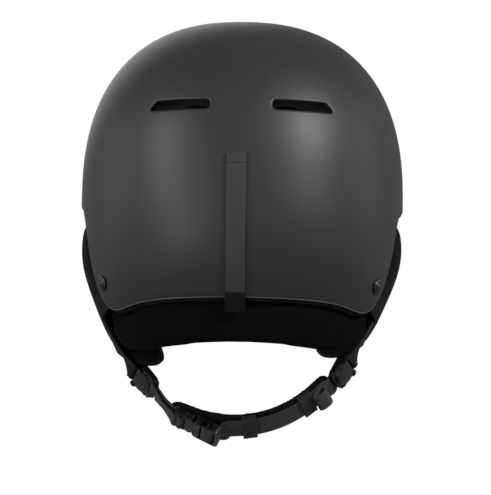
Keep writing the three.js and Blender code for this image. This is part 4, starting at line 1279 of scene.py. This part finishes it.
def left_webbing():
    """Two layers between the left divider and the buckle plug, split where the strap swivels."""
    _, up, _, outward = DIVIDERS["left"]
    split = place([-DIVIDER_LENGTH / 2 - 4, 0, 0], DIVIDERS["left"])
    bottom, ladder = place([MALE_END_X - 1.5, 0, 0], BUCKLE), BUCKLE[3]
    middle = (split + bottom) / 2
    section = flat_section(WEBBING_WIDTH - 0.8, 1.3)
    fall = unit(bottom - split)
    edge_on = unit(np.cross(fall, [0, 1, 0]))
    edge_on = edge_on if edge_on @ outward > 0 else -edge_on
    twisted = unit(outward + edge_on)
    inner = [divider_knot("left", x, 0, z) for x, z in (
        (1.1, 0.4), (-0.8, 2.4), (-3.4, 2.3), (-6, 2.4), (-7.6, 0), (-9.4, -2.5))]
    inner_end = (split - twisted * 1.2, twisted)
    inner_low = [inner_end, (middle - edge_on * 1.6, unit(edge_on + ladder)), (bottom - ladder * 2.4, ladder)]
    inner_low += [buckle_knot(x, z) for x, z in (
        (-16.5, -3.4), (-14.9, -0.6), (-13.9, 3.1), (-12.1, 3.9), (-10.5, 3.2), (-9.6, 0.2))]
    outer = [divider_knot("left", x, 0, z) for x, z in ((-7.2, 1.2), (-8.8, 3.0), (-10.6, 3.0))]
    outer_end = (split + twisted * 1.2, twisted)
    outer_low = [outer_end, (middle + edge_on * 1.5, unit(edge_on + ladder)), (bottom + ladder * 1.9, ladder)]
    outer_low += [buckle_knot(x, z) for x, z in ((-17.2, 3.4), (-15.6, 3.4), (-14.4, 0.6))]
    for name, layers, bodies, start, end in (
            ("chin_webbing_left_upper", (inner + [inner_end], outer + [outer_end]), ("helmet", "chin_strap"),
             split + up * 4, split),
            ("chin_webbing_left_lower", (inner_low, outer_low), ("chin_strap", "buckle_insert"), split,
             place([MALE_END_X, 0, 0], BUCKLE))):
        pieces = [smooth_band("layer", *zip(*knots), 70, section, WEBBING_PAINTED_LIGHT) for knots in layers]
        bridge(join_pieces(name, pieces), "chin_webbing_left")


def keeper(name, degrees):
    """Ribbed elastic ring round the webbing, let into the chin pad."""
    axes = loop_frame(degrees, KEEPER_MIDDLE)
    outline = np.array(rounded_outline(KEEPER_WIDTH, KEEPER_HEIGHT, 1.3, steps=18))
    dense = np.vstack([a + (b - a) * t for a, b in zip(outline, np.roll(outline, -1, 0)) for t in (0, 0.5)])
    dense = dense[np.linalg.norm(np.roll(dense, -1, 0) - dense, axis=1) > 1e-6]
    tangents = unit(np.roll(dense, -1, 0) - np.roll(dense, 1, 0))
    normals = np.column_stack([tangents[:, 1], -tangents[:, 0]])
    path = place(np.column_stack([np.zeros(len(dense)), dense]), axes)
    ups = normals[:, :1] * axes[2] + normals[:, 1:] * axes[3]
    ring = band(f"{name}_ring", path, ups, ribbed_section(KEEPER_LENGTH, 0.8, 7, 0.32), ELASTIC, closed=True)
    dress(ring, "chin_strap", "elastic", name)


def tail_loop():
    """The strap's free end, folded back into an open loop."""
    axes = loop_frame(TAIL_LOOP_ANGLE, TAIL_LOOP_LIFT)
    turns = np.linspace(0, 2 * math.pi, 72, endpoint=False)
    c, s = np.cos(turns), np.sin(turns)
    x = np.sign(c) * np.abs(c) ** 0.8 * (TAIL_LOOP_LENGTH - WEBBING_THICKNESS) / 2
    x += 0.45 * np.clip(c, 0, 1)
    z = s * (TAIL_LOOP_HEIGHT - WEBBING_THICKNESS) / 2 * (1 + 0.3 * c)
    path = place(np.column_stack([x, np.zeros(len(x)), z]), axes)
    tangent_x, tangent_z = (np.roll(v, -1) - np.roll(v, 1) for v in (x, z))
    ups = tangent_z[:, None] * axes[1] - tangent_x[:, None] * axes[3]
    loop = band("tail_loop_fold", path, ups, flat_section(WEBBING_WIDTH, 1.5), WEBBING_PAINTED_LIGHT, closed=True)
    dress(loop, "chin_strap", "webbing", "strap_tail_loop")


def chin_pad():
    u, v = soft_section(32, 3.0)
    rings = []
    for t in np.linspace(0, 1, 81):
        taper = max(1 - abs(2 * t - 1) ** 12, 0.05) ** 0.4
        degrees = CHIN_PAD_ENDS[0] + (CHIN_PAD_ENDS[1] - CHIN_PAD_ENDS[0]) * t
        rings.append([loop_point(degrees, -4.9 + b * 2.5, a * 8.6 * taper) for a, b in zip(u, v)])
    return pad("chin_cushion", rings, CHIN_CLOTH, 1.5)


chin_webbing()
left_webbing()
for keeper_name, keeper_angle in KEEPERS.items():
    keeper(keeper_name, keeper_angle)
tail_loop()


# ---- cushions -----------------------------------------------------------------------------
CUSHIONS = {
    "neck_roll": (neck_roll(), "roll_twill"),
    "ear_pad_left": (ear_pad("left"), "fleece"),
    "ear_pad_right": (ear_pad("right"), "fleece"),
    "crown_pad": (crown_pad(), "fleece"),
    "brow_pad": (liner_pad("brow_cushion", 52, 128, 40, -69, -44), "fleece"),
    "rear_pad": (liner_pad("rear_cushion", -128, -52, 40, -150, -112), "fleece"),
    "side_pad_right": (liner_pad("side_cushion_right", -16, 32, 26, -93, -62), "fleece"),
    "side_pad_left": (liner_pad("side_cushion_left", 148, 196, 26, -93, -62), "fleece"),
    "chin_pad": (chin_pad(), "fleece"),
}
THICK = ("neck_roll", "ear_pad_left", "ear_pad_right")
puff([CUSHIONS[key][0] for key in THICK], pressure=4, cap=2.2)
puff([CUSHIONS[key][0] for key in CUSHIONS if key not in THICK], pressure=3, cap=1.2)
# Sewn channels: path, depth and width.
SEAMS = {
    "chin_pad": ([loop_point(degrees, -4.9, 9.4)
                  for degrees in np.linspace(CHIN_PAD_ENDS[0] + 3, CHIN_PAD_ENDS[1] - 3, 90)], 0.9, 0.7),
    "ear_pad_left": ([(-84, -38, -203), (-76, -40, -206), (-69, -41, -203), (-61, -41, -197),
                      (-54, -38, -192)], 1.6, 1.3),
    "ear_pad_right": ([(84, -36, -196), (76, -38, -200), (68, -39, -198), (60, -38, -192)], 1.3, 1.2),
}
for key, (cushion, slot_name) in CUSHIONS.items():
    subdivide(cushion)
    if key in SEAMS:
        groove(cushion, *SEAMS[key])
    dress(cushion, "chin_strap" if key == "chin_pad" else "helmet", slot_name, key)
